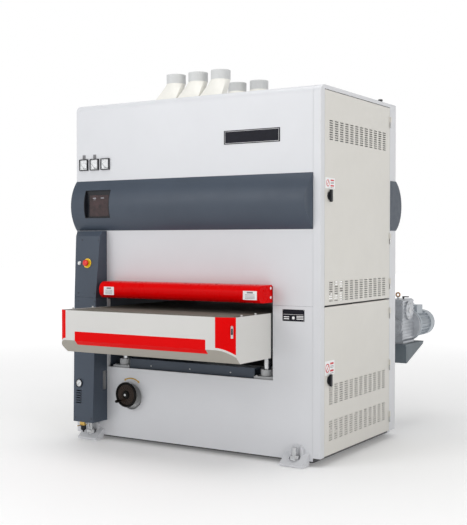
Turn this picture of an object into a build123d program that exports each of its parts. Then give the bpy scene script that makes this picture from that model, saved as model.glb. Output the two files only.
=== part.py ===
"""Two-head wide-belt drum sander with a conveyor table that rises and falls.

The frame stands on the floor: +Z is up, the front faces -Y and the belt-change side is +X.
Each node is laid out round the middle of the cabinet, then moved so that the origin is on the
floor under the middle of the whole machine, from the table's front to the feed motor's end.
Sizes are in millimetres.
"""

import os
from math import asin, atan2, cos, sin, tan

from build123d import *

# ---------------------------------------------------------------- driving dimensions
# cabinet
cabinet_width = 1750
cabinet_depth = 1064
cabinet_top = 2122
cabinet_bottom = 48
sheet = 4  # thickness of the cabinet's panels
roll_radius = 45  # rolled edge between the front and the roof
post_width = 48
post_depth = 47
rear_post_depth = 95
seam = 1  # gap between two neighbouring panels

# heights of the seams on the front
sill_z = 464
column_seam_z = 892
opening_top_z = 1000
band_low_z = 1322
band_high_z = 1637

# workpiece opening and the conveyor table that fills it
opening_left, opening_right = -626, 573
table_left, table_right = -622, 562
belt_left, belt_right = -590, 530
belt_top_z = 846.3
table_front_y = -949
table_flare = 45  # how far the apron's front left corner stands out beside the table
conveyor_radius = 50
conveyor_belt_thickness = 3
front_roller_y, rear_roller_y = -860, 815
feed_motor_end_y = 1240

# sanding heads
drum_low_z = 905  # underside of the abrasive belts, where the workpiece is cut
drum_radius = 103.5
tension_radius = 58
tension_z = 1702
head_y = 250  # the heads stand this far in front of and behind the middle
abrasive_thickness = 1.2

# fits
running_gap = 0.05
turning_gap = 0.4  # between a turning surface and the belt round it

# drum pulleys (their two ends), drive belts (each groove's left edge), motors, hold-down rollers
drum_pulley_x, pulley_radius = (-790, -730), 90
belt_grooves = (-785.5, -766.5, -747.5)
motor_z, motor_radius = 290, 118
pressure_y, pressure_z, pressure_radius = 412, 942, 30

# lift
jack_places = [(-530, -466), (500, -466), (-530, 466), (500, 466)]
screw_radius = 20
jack_top_z = 516  # clear of the screws' pads when the table is down
wheel_x, wheel_z, wheel_y = -439, 306, -592
wheel_radius, hub_radius, wheel_shaft = 78, 22, 10

# bands, and the touch screen in the front one
front_bulge, rear_bulge = 58, 93
band_end = 50  # length of the front band's rounded right end
screen_recess_x, screen_recess_z = (-768, -566), (1400, 1576)
screen_x, screen_z = (-743, -587), (1411, 1546)

# doors and side covers
door_gap, door_skin, door_fold = 2, 3, 25
door_split_z, split_gap = 891, 10
door_top = 2096
first_slot, slot_pitch, slot_width, slot_count = 107, 68, 45, 12
row_count, row_pitch, row_height = 9, 13, 7
upper_arrays, lower_arrays = (1820, 914), (333, 129)
hinge_radius, hinge_pin_radius, knuckle = 5, 3, 34
lower_hinges, upper_hinges = (140, 470, 800), (985, 1270, 2005)  # clear of the rear band
latch_y = -429
upper_latch_z, lower_latch_z = 1509, 475

# dust outlets
outlet_radius, outlet_wall = 60, 2.5
outlet_lean = 95  # how far the foot of each hood stands in front of its spigot
outlet_places = [(x, y) for y in (-300, 165) for x in (-257, -91, 75)]
hood_height, spigot_height = 118, 58

# control column
column_left, column_right = -860, -630
column_low_z, column_split_z, column_high_z = 125, 905, 1320
column_bend_z = 1287  # where the upper cover's front turns back towards the band
# how far the column's front stands in front of the cabinet at those four heights
low_reach, split_reach, bend_reach, high_reach = 143, 110, 67, 34
vent_x, vent_low_z, vent_count, vent_pitch, vent_height = (-768, -724), 240, 6, 15, 7
button_z, stop_x, start_x = 1117, -715, -778
gauge_x, gauge_z = -744, 366
gauge_zero = 135  # from straight up, anticlockwise, to the start of the gauge's scale

# ammeters
meter_places, meter_z = (-812, -725, -638), 1741
meter_width, meter_height, meter_barrel = 67, 72, 14
meter_face, meter_pivot_z = 5, meter_z - 20

# infeed guard
guard_left, guard_right = -565, 563
guard_low_z, guard_high_z, guard_reach, guard_round = 907, 1007, 150, 47

# apron round the front of the table
cover_edge_z, cover_low_z, cover_top_z = 668, 591, 846
cap_start = 112  # from the front right corner to where its red cap begins
left_cap = 62  # the same at the front left corner
flare_back = -680  # where the flare at the left meets the table's side
cap_back = 39  # how far the front curves back at a corner
cover_wall = 4
slope_run = 78  # how far back the sloping underside reaches
cap_lift = 12  # height of a cap's lower edge above the slope

# feed drive
worm_x, worm_z = 793, 686
gearbox_x, gearbox_y = (728, 856), (712, 918)

# feet
foot_places = [(732, -1), (-732, -1), (732, 1), (-732, 1)]  # x, and the side that each faces
foot_bolt_reach = 38  # from the cabinet's face to the bolt

# ---------------------------------------------------------------- derived values
right, left = cabinet_width / 2, -cabinet_width / 2
rear, front = cabinet_depth / 2, -cabinet_depth / 2
panel_right = right - post_width
door_front, door_rear = front + post_depth, rear - rear_post_depth
conveyor_axis_z = belt_top_z - conveyor_radius - conveyor_belt_thickness - 0.3
drum_z = drum_low_z + drum_radius + turning_gap + abrasive_thickness
middle_y = (table_front_y + feed_motor_end_y) / 2  # the middle of the whole machine
side_left_x, side_right_x = opening_left - 2, opening_right + 2
side_plate = 12
band_mid_z = (band_low_z + band_high_z) / 2
band_half = (band_high_z - band_low_z) / 2
column_profile = [
    (column_low_z, low_reach),
    (column_split_z, split_reach),
    (column_bend_z, bend_reach),
    (column_high_z, high_reach),
]
upper_lean = atan2(split_reach - bend_reach, column_bend_z - column_split_z)
lower_lean = atan2(low_reach - split_reach, column_split_z - column_low_z)
upward = (Align.CENTER, Align.CENTER, Align.MIN)


# ---------------------------------------------------------------- shapes
def block(x0, x1, y0, y1, z0, z1):
    """A box between two corners."""
    return Pos((x0 + x1) / 2, (y0 + y1) / 2, (z0 + z1) / 2) * Box(x1 - x0, y1 - y0, z1 - z0)


def rod(radius, start, end):
    """A cylinder from one point to another."""
    axis = Vector(*end) - Vector(*start)
    flat = Plane(origin=start, z_dir=axis)
    return flat * Cylinder(radius, axis.length, align=upward)


def sleeve(outer, inner, start, end):
    """A tube from one point to another."""
    return rod(outer, start, end) - rod(inner, start, end)


def prism(points, direction, length):
    """A flat polygon pushed along a direction."""
    face = Face(Wire.make_polygon([Vector(*p) for p in points]))
    return extrude(face, amount=length, dir=direction)


def prism_x(outline, x0, x1):
    """A polygon in the YZ plane, from x0 to x1."""
    return prism([(x0, y, z) for y, z in outline], (1, 0, 0), x1 - x0)


def prism_z(outline, z0, z1):
    """A polygon in the XY plane, from z0 to z1."""
    return prism([(x, y, z0) for x, y in outline], (0, 0, 1), z1 - z0)


def hexagon(radius, x, y, z0, z1):
    """An upright hexagonal prism, as a nut or a bolt head."""
    return Pos(x, y, z0) * extrude(RegularPolygon(radius, 6), amount=z1 - z0)


def tangent_loop(y, low_z, low_radius, high_z, high_radius, x0, x1):
    """The solid that a tight belt round two rollers, one above the other, encloses."""
    lean = asin((low_radius - high_radius) / (high_z - low_z))
    low_y, low_tangent = low_radius * cos(lean), low_z + low_radius * sin(lean)
    high_y, high_tangent = high_radius * cos(lean), high_z + high_radius * sin(lean)
    sides = [
        (y - low_y, low_tangent),
        (y + low_y, low_tangent),
        (y + high_y, high_tangent),
        (y - high_y, high_tangent),
    ]
    ends = rod(low_radius, (x0, y, low_z), (x1, y, low_z))
    ends += rod(high_radius, (x0, y, high_z), (x1, y, high_z))
    return ends + prism_x(sides, x0, x1)


def upright_belt(y, low_z, low_radius, high_z, high_radius, x0, x1, thickness):
    """An endless belt round two rollers, one above the other."""
    outside = tangent_loop(
        y, low_z, low_radius + thickness, high_z, high_radius + thickness, x0, x1
    )
    return outside - tangent_loop(y, low_z, low_radius, high_z, high_radius, x0 - 1, x1 + 1)


def save(name, *solids):
    """Write one node, with each of its separate solids, measured from the machine's middle."""
    placed = [Pos(0, -middle_y, 0) * solid for solid in solids]
    shape = placed[0] if len(placed) == 1 else Compound(children=placed)
    export_step(shape, f"parts/{name}.step")


# ---------------------------------------------------------------- base and feet
def make_base_frame():
    """Box-section rails under the cabinet, with the two beams that carry the jacks."""
    rail, low, high = 80, 20, 110
    x0, x1, y0, y1 = left + post_width, panel_right, front + 8, rear - 8
    rails = block(x0, x1, y0, y1, low, high)
    rails -= block(x0 + rail, x1 - rail, y0 + rail, y1 - rail, low - 1, high + 1)
    for x in (-540, -300, 240):
        rails += block(x, x + 60, y0 + rail, y1 - rail, low, high)
    for y in (jack_places[0][1], jack_places[2][1]):
        rails += block(side_left_x, side_right_x, y - 48, y + 48, 404, sill_z)
        for x in (side_left_x + 8, side_right_x - 68):
            rails += block(x, x + 60, y - 30, y + 30, high, 404)
    for x, y in jack_places:
        rails -= rod(screw_radius + 4, (x, y, high + 1), (x, y, sill_z + 1))
    save("base_frame", rails)


def make_feet():
    """Four wedge feet in front of and behind the cabinet, with their levelling bolts."""
    width, reach, height, seat, boss_top = 150, 76, 72, 40, 118
    feet, bolts = [], []
    for x, side in foot_places:
        face = side * cabinet_depth / 2
        tip, bolt_y = face + side * reach, face + side * foot_bolt_reach
        outline = [(face, 5), (tip, 5), (tip, 16), (face, height)]
        foot = prism_x(outline, x - width / 2, x + width / 2)
        low_y, high_y = sorted((face, face + side * 16))
        foot += block(x - 44, x + 44, low_y, high_y, height - 20, boss_top - 20)
        foot += rod(44, (x, low_y, boss_top - 44), (x, high_y, boss_top - 44))
        foot -= rod(34, (x, bolt_y, seat), (x, bolt_y, boss_top + 4))
        foot -= rod(16, (x, bolt_y, 0), (x, bolt_y, seat + 1))
        feet.append(foot)
        bolt = rod(15, (x, bolt_y, 4), (x, bolt_y, 106))
        bolt += rod(26, (x, bolt_y, 0), (x, bolt_y, 4))
        bolts.append(bolt)
        nut = hexagon(27, x, bolt_y, seat + 4, seat + 22)
        nut -= rod(15, (x, bolt_y, seat), (x, bolt_y, seat + 30))
        washer = sleeve(30, 15, (x, bolt_y, seat), (x, bolt_y, seat + 4))
        bolts += [nut, washer]
    save("foot_brackets", *feet)
    save("levelling_bolts", *bolts)


# ---------------------------------------------------------------- inner frame
def make_side_frames():
    """The two heavy plates that carry the heads, with a window for changing the belts."""
    plates = []
    for x0, x1, windows in (
        (side_left_x - side_plate, side_left_x, False),
        (side_right_x, side_right_x + side_plate, True),
    ):
        plate = block(x0, x1, front + 34, rear - 34, 110, 2040)
        for side in (-1, 1):
            y = side * head_y
            if windows:
                plate -= block(x0 - 1, x1 + 1, y - 125, y + 125, drum_low_z - 30, 1800)
                plate -= block(x0 - 1, x1 + 1, y - 150, y + 150, 160, 400)
            else:
                plate -= rod(40, (x0 - 1, y, drum_z), (x1 + 1, y, drum_z))
                plate -= rod(70, (x0 - 1, y, motor_z), (x1 + 1, y, motor_z))
            roller_y = side * pressure_y
            plate -= rod(
                15 + running_gap,
                (x0 - 1, roller_y, pressure_z),
                (x1 + 1, roller_y, pressure_z),
            )
        plates.append(plate)
    save("side_frames", *plates)


def make_corner_posts():
    """Four box-section posts; the front right one shows beside the panels."""
    roof_low = cabinet_top - sheet - seam
    posts = []
    for x0, x1, y0, y1, top in (
        (panel_right + seam, right, front, door_front, cabinet_top),
        (left, left + post_width, front + sheet + seam, door_front, 2050),
        (panel_right + seam, right, door_rear, rear, roof_low),
        (left, left + post_width, door_rear, rear, roof_low),
    ):
        post = block(x0, x1, y0, y1, cabinet_bottom, top)
        if top == cabinet_top:
            post -= rolled_corner(x0, x1, front, top)
        post -= block(x0 + 5, x1 - 5, y0 + 5, y1 - 5, cabinet_bottom - 1, 2030)
        posts.append(post)
    save("corner_posts", *posts)


def rolled_corner(x0, x1, face_y, top_z):
    """What is cut off a block so that its front top edge is rolled."""
    centre_y, centre_z = face_y + roll_radius, top_z - roll_radius
    corner = block(x0 - 1, x1 + 1, face_y - 1, centre_y, centre_z, top_z + 1)
    return corner - rod(roll_radius, (x0 - 2, centre_y, centre_z), (x1 + 2, centre_y, centre_z))


def make_cross_beams():
    """Four beams between the side frames, over the heads."""
    beams = []
    for y in (-440, -60, 60, 440):
        beam = block(side_left_x, side_right_x, y - 40, y + 40, 1900, 2000)
        beam -= block(side_left_x - 1, side_right_x + 1, y - 34, y + 34, 1906, 1994)
        beams.append(beam)
    save("cross_beams", *beams)


# ---------------------------------------------------------------- cabinet panels
def make_lower_front_panel():
    """U-shaped panel below and beside the conveyor table."""
    y0, y1 = front, front + sheet
    panel = block(left, panel_right, y0, y1, 29, column_seam_z - seam)
    panel -= block(opening_left, opening_right, y0 - 1, y1 + 1, sill_z, column_seam_z)
    edge_left, edge_right = opening_left - sheet, opening_right + sheet
    for x in (edge_left, opening_right):
        panel += block(x, x + sheet, y0, y1 + 26, sill_z, column_seam_z - seam)
    panel += block(edge_left, edge_right, y0, y1 + 10, sill_z - sheet, sill_z)
    panel -= rod(80, (wheel_x, y0 - 1, 288), (wheel_x, y1 + 1, 288))
    save("lower_front_panel", panel)


def make_middle_front_panel():
    """Plain panel between the workpiece opening and the band."""
    y0, y1 = front, front + sheet
    panel = block(left, panel_right, y0, y1, column_seam_z, band_low_z)
    panel -= block(opening_left, opening_right, y0 - 1, y1 + 1, column_seam_z - 1, opening_top_z)
    panel += block(opening_left, opening_right, y0, y1 + 22, opening_top_z, opening_top_z + 4)
    save("middle_front_panel", panel)


def bulge(x0, x1, face_y, depth, side, inset=0):
    """The part of a level cylinder that stands out from the cabinet's face by depth."""
    radius = (band_half**2 + depth**2) / (2 * depth)
    centre_y = face_y + side * (depth - radius)
    whole = rod(radius - inset, (x0, centre_y, band_mid_z), (x1, centre_y, band_mid_z))
    near, far = sorted((face_y, face_y + side * (depth + 1)))
    return whole & block(x0, x1, near, far, band_low_z + inset, band_high_z - inset)


def rounded_end(x_end, depth, inset=0):
    """Plan outline of the front band, whose right end curves back to the cabinet's face."""
    low, high, y_out = band_low_z - 1, band_high_z + 1, front - depth - 5
    body = block(left - 1 + inset, x_end - band_end, y_out, front + 1, low, high)
    curve = extrude(Ellipse(band_end - inset, depth + 6 - inset), amount=high - low)
    return body + Pos(x_end - band_end, front, low) * curve


def make_front_band():
    """Bulged band across the front: a shell with its recess for the touch screen."""
    outside = bulge(left, panel_right, front, front_bulge, -1)
    outside &= rounded_end(panel_right, front_bulge)
    inside = bulge(left + sheet, panel_right, front, front_bulge, -1, inset=sheet)
    inside &= rounded_end(panel_right, front_bulge, inset=sheet)
    band = outside - inside
    band -= block(*screen_recess_x, front - 80, front - 6, *screen_recess_z)
    save("front_band", band)


def make_touch_screen():
    """Bezel that lines the recess in the band, and the screen in it."""
    x0, x1 = screen_recess_x[0] + 0.5, screen_recess_x[1] - 0.5
    z0, z1 = screen_recess_z[0] + 0.5, screen_recess_z[1] - 0.5
    bezel = bulge(x0, x1, front, front_bulge, -1) & block(x0, x1, front - 80, front - 12, z0, z1)
    bezel -= block(x0 + 4, x1 - 4, front - 80, front - 32, z0 + 4, z1 - 4)
    bezel -= block(*screen_x, front - 40, front - 27, *screen_z)
    glass = block(
        screen_x[0] + 0.5,
        screen_x[1] - 0.5,
        front - 31,
        front - 27,
        screen_z[0] + 0.5,
        screen_z[1] - 0.5,
    )
    save("touch_screen", bezel, glass)


def make_upper_front_panel():
    """Panel above the band, rolled over at the top into the roof."""
    x0, x1, top = left, panel_right, cabinet_top
    outside = block(x0, x1, front, front + roll_radius, band_high_z, top)
    outside -= rolled_corner(x0, x1, front, top)
    inner = roll_radius - sheet
    inside = block(x0 - 1, x1 + 1, front + sheet, front + 60, band_high_z - 1, top - sheet)
    curve_y, curve_z = front + roll_radius, top - roll_radius
    corner = block(x0 - 1, x1 + 1, front + sheet, curve_y, curve_z, top - sheet)
    inside -= corner - rod(inner, (x0 - 2, curve_y, curve_z), (x1 + 2, curve_y, curve_z))
    panel = outside - inside
    for x in meter_places:
        panel -= rod(meter_barrel + 1, (x, front - 1, meter_z), (x, front + 10, meter_z))
    save("upper_front_panel", panel)


def make_roof():
    """Roof with the holes for the dust outlets and a folded edge on each side."""
    y0 = door_front + seam
    roof = block(left, right, y0, rear, cabinet_top - sheet, cabinet_top)
    for x0 in (left, right - sheet):
        roof += block(x0, x0 + sheet, door_front, door_rear, door_top + 4, cabinet_top)
    for x, y in outlet_places:
        y -= outlet_lean
        roof -= block(x - 72, x + 72, y - 26, y + 26, cabinet_top - 10, cabinet_top + 1)
    save("roof_panel", roof)


def make_rear_panels():
    """Lower and upper rear panels, with the opening that the workpiece leaves by."""
    y0, y1 = rear - sheet, rear
    x0, x1 = left + post_width + seam, panel_right - seam
    lower = block(x0, x1, y0, y1, cabinet_bottom, opening_top_z - seam)
    lower -= block(opening_left, opening_right, y0 - 1, y1 + 1, sill_z, opening_top_z)
    upper = block(x0, x1, y0, y1, opening_top_z, cabinet_top - sheet - seam)
    save("rear_panels", lower, upper)


def make_rear_band():
    """Deeper bulged band across the back, whose ends lap onto both sides."""
    lap, end = 88, 3
    x0, x1 = left - end, right + end
    outside = bulge(x0, x1, rear, rear_bulge, 1)
    for x in (x0, right):
        outside += block(x, x + end, rear - lap, rear, band_low_z, band_high_z)
    inside = bulge(x0 + end, x1 - end, rear, rear_bulge, 1, inset=sheet)
    save("rear_band", outside - inside)


# ---------------------------------------------------------------- doors and side covers
def side_tray(side, z0, z1, arrays):
    """A sheet tray with folded edges and two rows of louvre slots, on one side."""
    outer, inner = side * right, side * (right - door_skin)
    fold = side * (right - door_fold)
    y0, y1 = door_front + door_gap, door_rear - door_gap
    xs, folds = sorted((outer, fold)), sorted((inner, side * (right - door_fold - 1)))
    tray = block(*xs, y0, y1, z0, z1)
    tray -= block(*folds, y0 + 2.5, y1 - 2.5, z0 + 2.5, z1 - 2.5)
    cut_x = sorted((side * (right + 1), side * (right - door_skin - 1)))
    slots = []
    for low in arrays:
        for column in range(slot_count):
            y = front + first_slot + column * slot_pitch
            for row in range(row_count):
                z = low + 3 + row * row_pitch
                slots.append(block(*cut_x, y, y + slot_width, z, z + row_height))
    return tray - Compound(children=slots)


def make_doors():
    """Two doors on the right side, with their hinges, and two bolted covers on the left."""
    x, y = right + hinge_radius + 0.5, door_rear - door_gap / 2
    split_low, split_high = door_split_z - split_gap / 2, door_split_z + split_gap / 2
    ranges = {
        "lower": (cabinet_bottom + 4, split_low, lower_arrays, lower_latch_z, lower_hinges),
        "upper": (split_high, door_top, upper_arrays, upper_latch_z, upper_hinges),
    }
    hinges, covers = [], []
    for name, (z0, z1, arrays, latch_z, hinge_heights) in ranges.items():
        door = side_tray(1, z0, z1, arrays)
        door -= rod(8.1, (right - 40, latch_y, latch_z), (right + 10, latch_y, latch_z))
        for z in hinge_heights:
            bore = hinge_pin_radius + running_gap
            door += sleeve(hinge_radius, bore, (x, y, z + 0.5), (x, y, z + knuckle))
            door += block(right - 1, x - 3.6, y - 16, y - 1.2, z + 0.5, z + knuckle)
            fixed = rod(hinge_radius, (x, y, z - knuckle), (x, y, z))
            fixed += block(right, x - 3.6, y + 1.2, y + 16, z - knuckle, z)
            fixed += block(right, x, y + 0.2, y + 4.8, z - knuckle, z)
            fixed += rod(hinge_pin_radius, (x, y, z), (x, y, z + knuckle - 2))
            hinges.append(fixed)
        save(f"{name}_door", door)
        save(f"{name}_door_latch", make_latch(latch_z))
        covers.append(side_tray(-1, z0, z1, arrays))
    save("door_hinges", *hinges)
    save("left_side_covers", *covers)


def make_latch(z):
    """Quarter-turn latch: escutcheon boss, wing handle, spindle and cam."""
    latch = rod(8, (right - 18, latch_y, z), (right + 2, latch_y, z))
    latch += rod(21, (right + 0.4, latch_y, z), (right + 7, latch_y, z))
    latch += block(right + 7, right + 20, latch_y - 9, latch_y + 9, z - 26, z + 26)
    latch += rod(9, (right + 7, latch_y, z + 26), (right + 20, latch_y, z + 26))
    latch += rod(9, (right + 7, latch_y, z - 26), (right + 20, latch_y, z - 26))
    latch += block(right - 22, right - 17, latch_y - 46, latch_y + 10, z - 10, z + 10)
    return latch


# ---------------------------------------------------------------- dust outlets
def outlet_hood(x, y, inset):
    """The solid between a slot on the roof and the spigot's round foot, behind and above it."""
    slot = Pos(x, y - outlet_lean, cabinet_top) * Rectangle(160 - inset * 2, 60 - inset * 2)
    ring = Pos(x, y, cabinet_top + hood_height) * Circle(outlet_radius - inset)
    return loft([slot, ring])


def make_dust_outlets():
    """Six extraction outlets: a slot on the roof that rises into a round spigot."""
    spigot_low = cabinet_top + hood_height
    spigot_top = spigot_low + spigot_height
    outlets = []
    for x, y in outlet_places:
        outlet = outlet_hood(x, y, 0)
        outlet += rod(outlet_radius, (x, y, spigot_low), (x, y, spigot_top))
        outlet -= outlet_hood(x, y, outlet_wall)
        outlet -= rod(outlet_radius - outlet_wall, (x, y, spigot_low), (x, y, spigot_top + 1))
        outlets.append(outlet)
    save("dust_outlets", *outlets)


# ---------------------------------------------------------------- control column
def column_body(inset, z0, z1):
    """The column's solid, cut to a height range, or the hollow in it if inset is given."""
    side = [(front, column_low_z), *[(front - d + inset, z) for z, d in column_profile]]
    side.append((front, column_high_z))
    outline = [
        (column_left + inset, front + 1),
        (column_left + 75 + inset * 0.6, front - low_reach + inset),
        (column_right - inset, front - low_reach + inset),
        (column_right - inset, front + 1),
    ]
    body = prism_x(side, column_left, column_right) & prism_z(outline, column_low_z, column_high_z)
    return body & block(column_left, column_right, front - 200, front, z0, z1)


def make_control_column():
    """Leaning column at the left of the front, in two sheet covers."""
    upper = column_body(0, column_split_z + seam, column_high_z)
    upper -= column_body(sheet, column_split_z - 1, column_high_z - sheet)
    for place, radius in ((stop_place, 11), (button_place, 8)):
        upper -= place * rod(radius + 0.4, (0, 0, -12), (0, 0, 4))
    lower = column_body(0, column_low_z, column_split_z)
    lower -= column_body(sheet, column_low_z + sheet, column_split_z + 1)
    lower -= block(column_right - 6, column_right + 1, front - 41, front - 7, 321, 439)
    for row in range(vent_count):
        z = vent_low_z + row * vent_pitch
        lower -= block(*vent_x, front - 150, front - 120, z, z + vent_height)
    lower -= gauge_place * rod(17, (0, 0, -12), (0, 0, 4))
    save("control_column_upper", upper)
    save("control_column_lower", lower)


def on_upper_column(x, z):
    """A place on the upper cover's face, with +Z pointing out of it."""
    depth = split_reach - (z - column_split_z) * tan(upper_lean)
    out = (0, -cos(upper_lean), sin(upper_lean))
    return Plane(origin=(x, front - depth, z), x_dir=(1, 0, 0), z_dir=out)


def on_lower_column(x, z):
    """A place on the lower cover's face, with +Z pointing out of it."""
    depth = low_reach - (z - column_low_z) * tan(lower_lean)
    out = (0, -cos(lower_lean), sin(lower_lean))
    return Plane(origin=(x, front - depth, z), x_dir=(1, 0, 0), z_dir=out)


stop_place = on_upper_column(stop_x, button_z)
button_place = on_upper_column(start_x, button_z)
gauge_place = on_lower_column(gauge_x, gauge_z)


def make_buttons():
    """Emergency stop and start button, each with its ring."""
    ring = sleeve(30, 10.5, (0, 0, 0), (0, 0, 5)) + sleeve(10.9, 10.5, (0, 0, -11), (0, 0, 1))
    small = sleeve(14, 7.5, (0, 0, 0), (0, 0, 6)) + sleeve(7.9, 7.5, (0, 0, -11), (0, 0, 1))
    save("button_rings", stop_place * ring, button_place * small)
    cap = rod(20, (0, 0, 16), (0, 0, 24)) + Pos(0, 0, 24) * Cone(20, 15, 4, align=upward)
    mushroom = rod(10.4, (0, 0, -10), (0, 0, 16)) + Pos(0, 0, 12) * Cone(11, 20, 4, align=upward)
    save("e_stop_button", stop_place * (cap + mushroom))
    save("start_button", button_place * rod(7.4, (0, 0, -10), (0, 0, 10)))


def make_pressure_gauge():
    """Round air gauge let into the column, with its needle."""
    case = rod(25, (0, 0, 0), (0, 0, 9)) + rod(16.5, (0, 0, -16), (0, 0, 0))
    case -= rod(22, (0, 0, 2), (0, 0, 10))
    case += rod(1.5, (0, 0, 2), (0, 0, 4.5))
    save("gauge_case", gauge_place * case)
    hand = rod(3, (0, 0, 3), (0, 0, 3.9)) + block(-0.7, 0.7, -6, 17, 3, 3.9)
    hand -= rod(1.5 + running_gap, (0, 0, 2), (0, 0, 5))
    start = gauge_place * Rot(0, 0, gauge_zero)
    save("gauge_needle", start * hand)


def make_filter_regulator():
    """Air filter under the column: brass head, bowl and elbow."""
    x, y = gauge_x, front - 96
    head = block(x - 19, x + 19, y - 16, y + 16, 96, 124.9)
    head += rod(7, (x + 19, y, 110), (x + 34, y, 110))
    bowl = rod(17, (x, y, 62), (x, y, 96)) + rod(5, (x, y, 52), (x, y, 62))
    save("filter_regulator", head, bowl)


# ---------------------------------------------------------------- meters
def make_meters():
    """Three square ammeters with glasses and needles."""
    cases, glasses = [], []
    for number, x in enumerate(meter_places, 1):
        half_w, half_h = meter_width / 2, meter_height / 2
        case = block(x - half_w, x + half_w, front - 12, front, meter_z - half_h, meter_z + half_h)
        case += rod(meter_barrel, (x, front, meter_z), (x, front + 28, meter_z))
        case -= block(
            x - half_w + 5, x + half_w - 5, front - 13, front - meter_face,
            meter_z - half_h + 5, meter_z + half_h - 5,
        )
        case += rod(1.5, (x, front - meter_face, meter_pivot_z), (x, front - 7.5, meter_pivot_z))
        cases.append(case)
        glasses.append(
            block(
                x - half_w + 5, x + half_w - 5, front - 11.5, front - 9.5,
                meter_z - half_h + 5, meter_z + half_h - 5,
            )
        )
        y0, y1 = front - 7.4, front - 6.4
        hand = rod(3, (0, y0, 0), (0, y1, 0)) + block(-0.7, 0.7, y0, y1, 0, 37)
        hand -= rod(1.5 + running_gap, (0, y0 - 1, 0), (0, y1 + 1, 0))
        place = Pos(x, 0, meter_pivot_z) * Rot(0, -45, 0)
        save(f"ammeter_needle_{number}", place * hand)
    gauge_glass = gauge_place * rod(21.5, (0, 0, 5.5), (0, 0, 7.5))
    save("ammeter_cases", *cases)
    save("meter_glasses", *glasses, gauge_glass)


# ---------------------------------------------------------------- infeed guard
def guard_hood(inset):
    """The guard's full outline, or the hollow in it if inset is given."""
    y0, z0, z1 = front - guard_reach + inset, guard_low_z + inset, guard_high_z - inset
    radius = guard_round - inset
    body = block(guard_left, guard_right, y0, front, z0, z1)
    for z, edge in ((z0 + radius, z0 - 1), (z1 - radius, z1 + 1)):
        corner = block(guard_left, guard_right, y0 - 1, y0 + radius, *sorted((z, edge)))
        body -= corner - rod(radius, (guard_left, y0 + radius, z), (guard_right, y0 + radius, z))
    return body


def make_infeed_guard():
    """Red guard over the infeed: a rounded cover between two end plates."""
    cover = guard_hood(0) - guard_hood(3)
    cover -= block(guard_left, guard_right, front - 100, front + 1, 900, 911)
    plates = []
    for x0, x1 in ((guard_left - 4, guard_left), (guard_right, guard_right + 4)):
        outline = guard_hood(0) & block(guard_left, guard_left + 4, front - 200, front, 900, 1010)
        plate = Pos(x0 - guard_left, 0, 0) * outline
        plate += block(x0, x1, front - 1, front + 34, guard_low_z, opening_top_z - 2)
        plates.append(plate)
    save("infeed_guard", cover, *plates)


# ---------------------------------------------------------------- sanding heads
def make_heads():
    """Two cantilever heads, each with its drum, tension roller, abrasive belt and drive."""
    beams, abrasive, motors, v_belts = [], [], [], []
    for name, y in (("front", -head_y), ("rear", head_y)):
        beam = block(side_left_x, 562, y - 48, y + 48, 1200, 1500)
        beam -= block(side_left_x + 30, 540, y - 38, y + 38, 1212, 1488)
        for x0, x1 in ((side_left_x + 6, side_left_x + 30), (540, 562)):
            beam += block(x0, x1, y - 46, y + 46, drum_z - 60, tension_z + 36)
            beam -= rod(25 + running_gap, (x0 - 1, y, drum_z), (x1 + 1, y, drum_z))
            beam -= rod(15 + running_gap, (x0 - 1, y, tension_z), (x1 + 1, y, tension_z))
        beams.append(beam)

        drum = rod(drum_radius, (belt_left, y, drum_z), (belt_right, y, drum_z))
        drum += rod(25, (drum_pulley_x[0], y, drum_z), (570, y, drum_z))
        drum += grooved_pulley(y, drum_z)
        save(f"contact_drum_{name}", drum)

        roller = rod(tension_radius, (belt_left, y, tension_z), (belt_right, y, tension_z))
        roller += rod(15, (side_left_x + 2, y, tension_z), (566, y, tension_z))
        save(f"tension_roller_{name}", roller)

        abrasive.append(
            upright_belt(
                y, drum_z, drum_radius + turning_gap, tension_z, tension_radius + turning_gap,
                belt_left + 5, belt_right - 5, abrasive_thickness,
            )
        )
        motors.append(make_main_motor(y))
        shaft = rod(19, (drum_pulley_x[0], y, motor_z), (-602, y, motor_z))
        save(f"motor_pulley_{name}", shaft + grooved_pulley(y, motor_z))
        v_belts += [
            upright_belt(
                y, motor_z, pulley_radius + turning_gap, drum_z, pulley_radius + turning_gap,
                x + 0.5, x + 12.5, 8,
            )
            for x in belt_grooves
        ]
    save("head_beams", *beams)
    save("abrasive_belts", *abrasive)
    save("main_motors", *motors)
    save("drive_belts", *v_belts)


def grooved_pulley(y, z):
    """Pulley with three grooves for the drive belts."""
    wheel = rod(pulley_radius + 8, (drum_pulley_x[0], y, z), (drum_pulley_x[1], y, z))
    for x in belt_grooves:
        wheel -= sleeve(pulley_radius + 20, pulley_radius, (x, y, z), (x + 13, y, z))
    return wheel


def make_main_motor(y):
    """Foot-mounted motor with cooling ribs, a terminal box and a fan cowl."""
    x0, x1 = -600, -150
    motor = rod(motor_radius - 14, (x0, y, motor_z), (x1, y, motor_z))
    motor += rod(motor_radius, (x0, y, motor_z), (x0 + 24, y, motor_z))
    motor += rod(motor_radius - 2, (x1 - 90, y, motor_z), (x1, y, motor_z))
    for step in range(24):
        fin = block(x0 + 24, x1 - 90, y - 2, y + 2, motor_z + 90, motor_z + motor_radius - 3)
        motor += fin.rotate(Axis((0, y, motor_z), (1, 0, 0)), step * 15)
    motor += block(x0 + 130, x0 + 250, y - 45, y + 45, motor_z + 80, motor_z + 150)
    for x in (x0 + 60, x1 - 150):
        motor += block(x, x + 60, y - 110, y + 110, 110, 140)
        motor += block(x, x + 60, y - 70, y + 70, 135, motor_z - 60)
    motor -= rod(19 + running_gap, (x0 - 5, y, motor_z), (x0 + 40, y, motor_z))
    return motor


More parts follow.
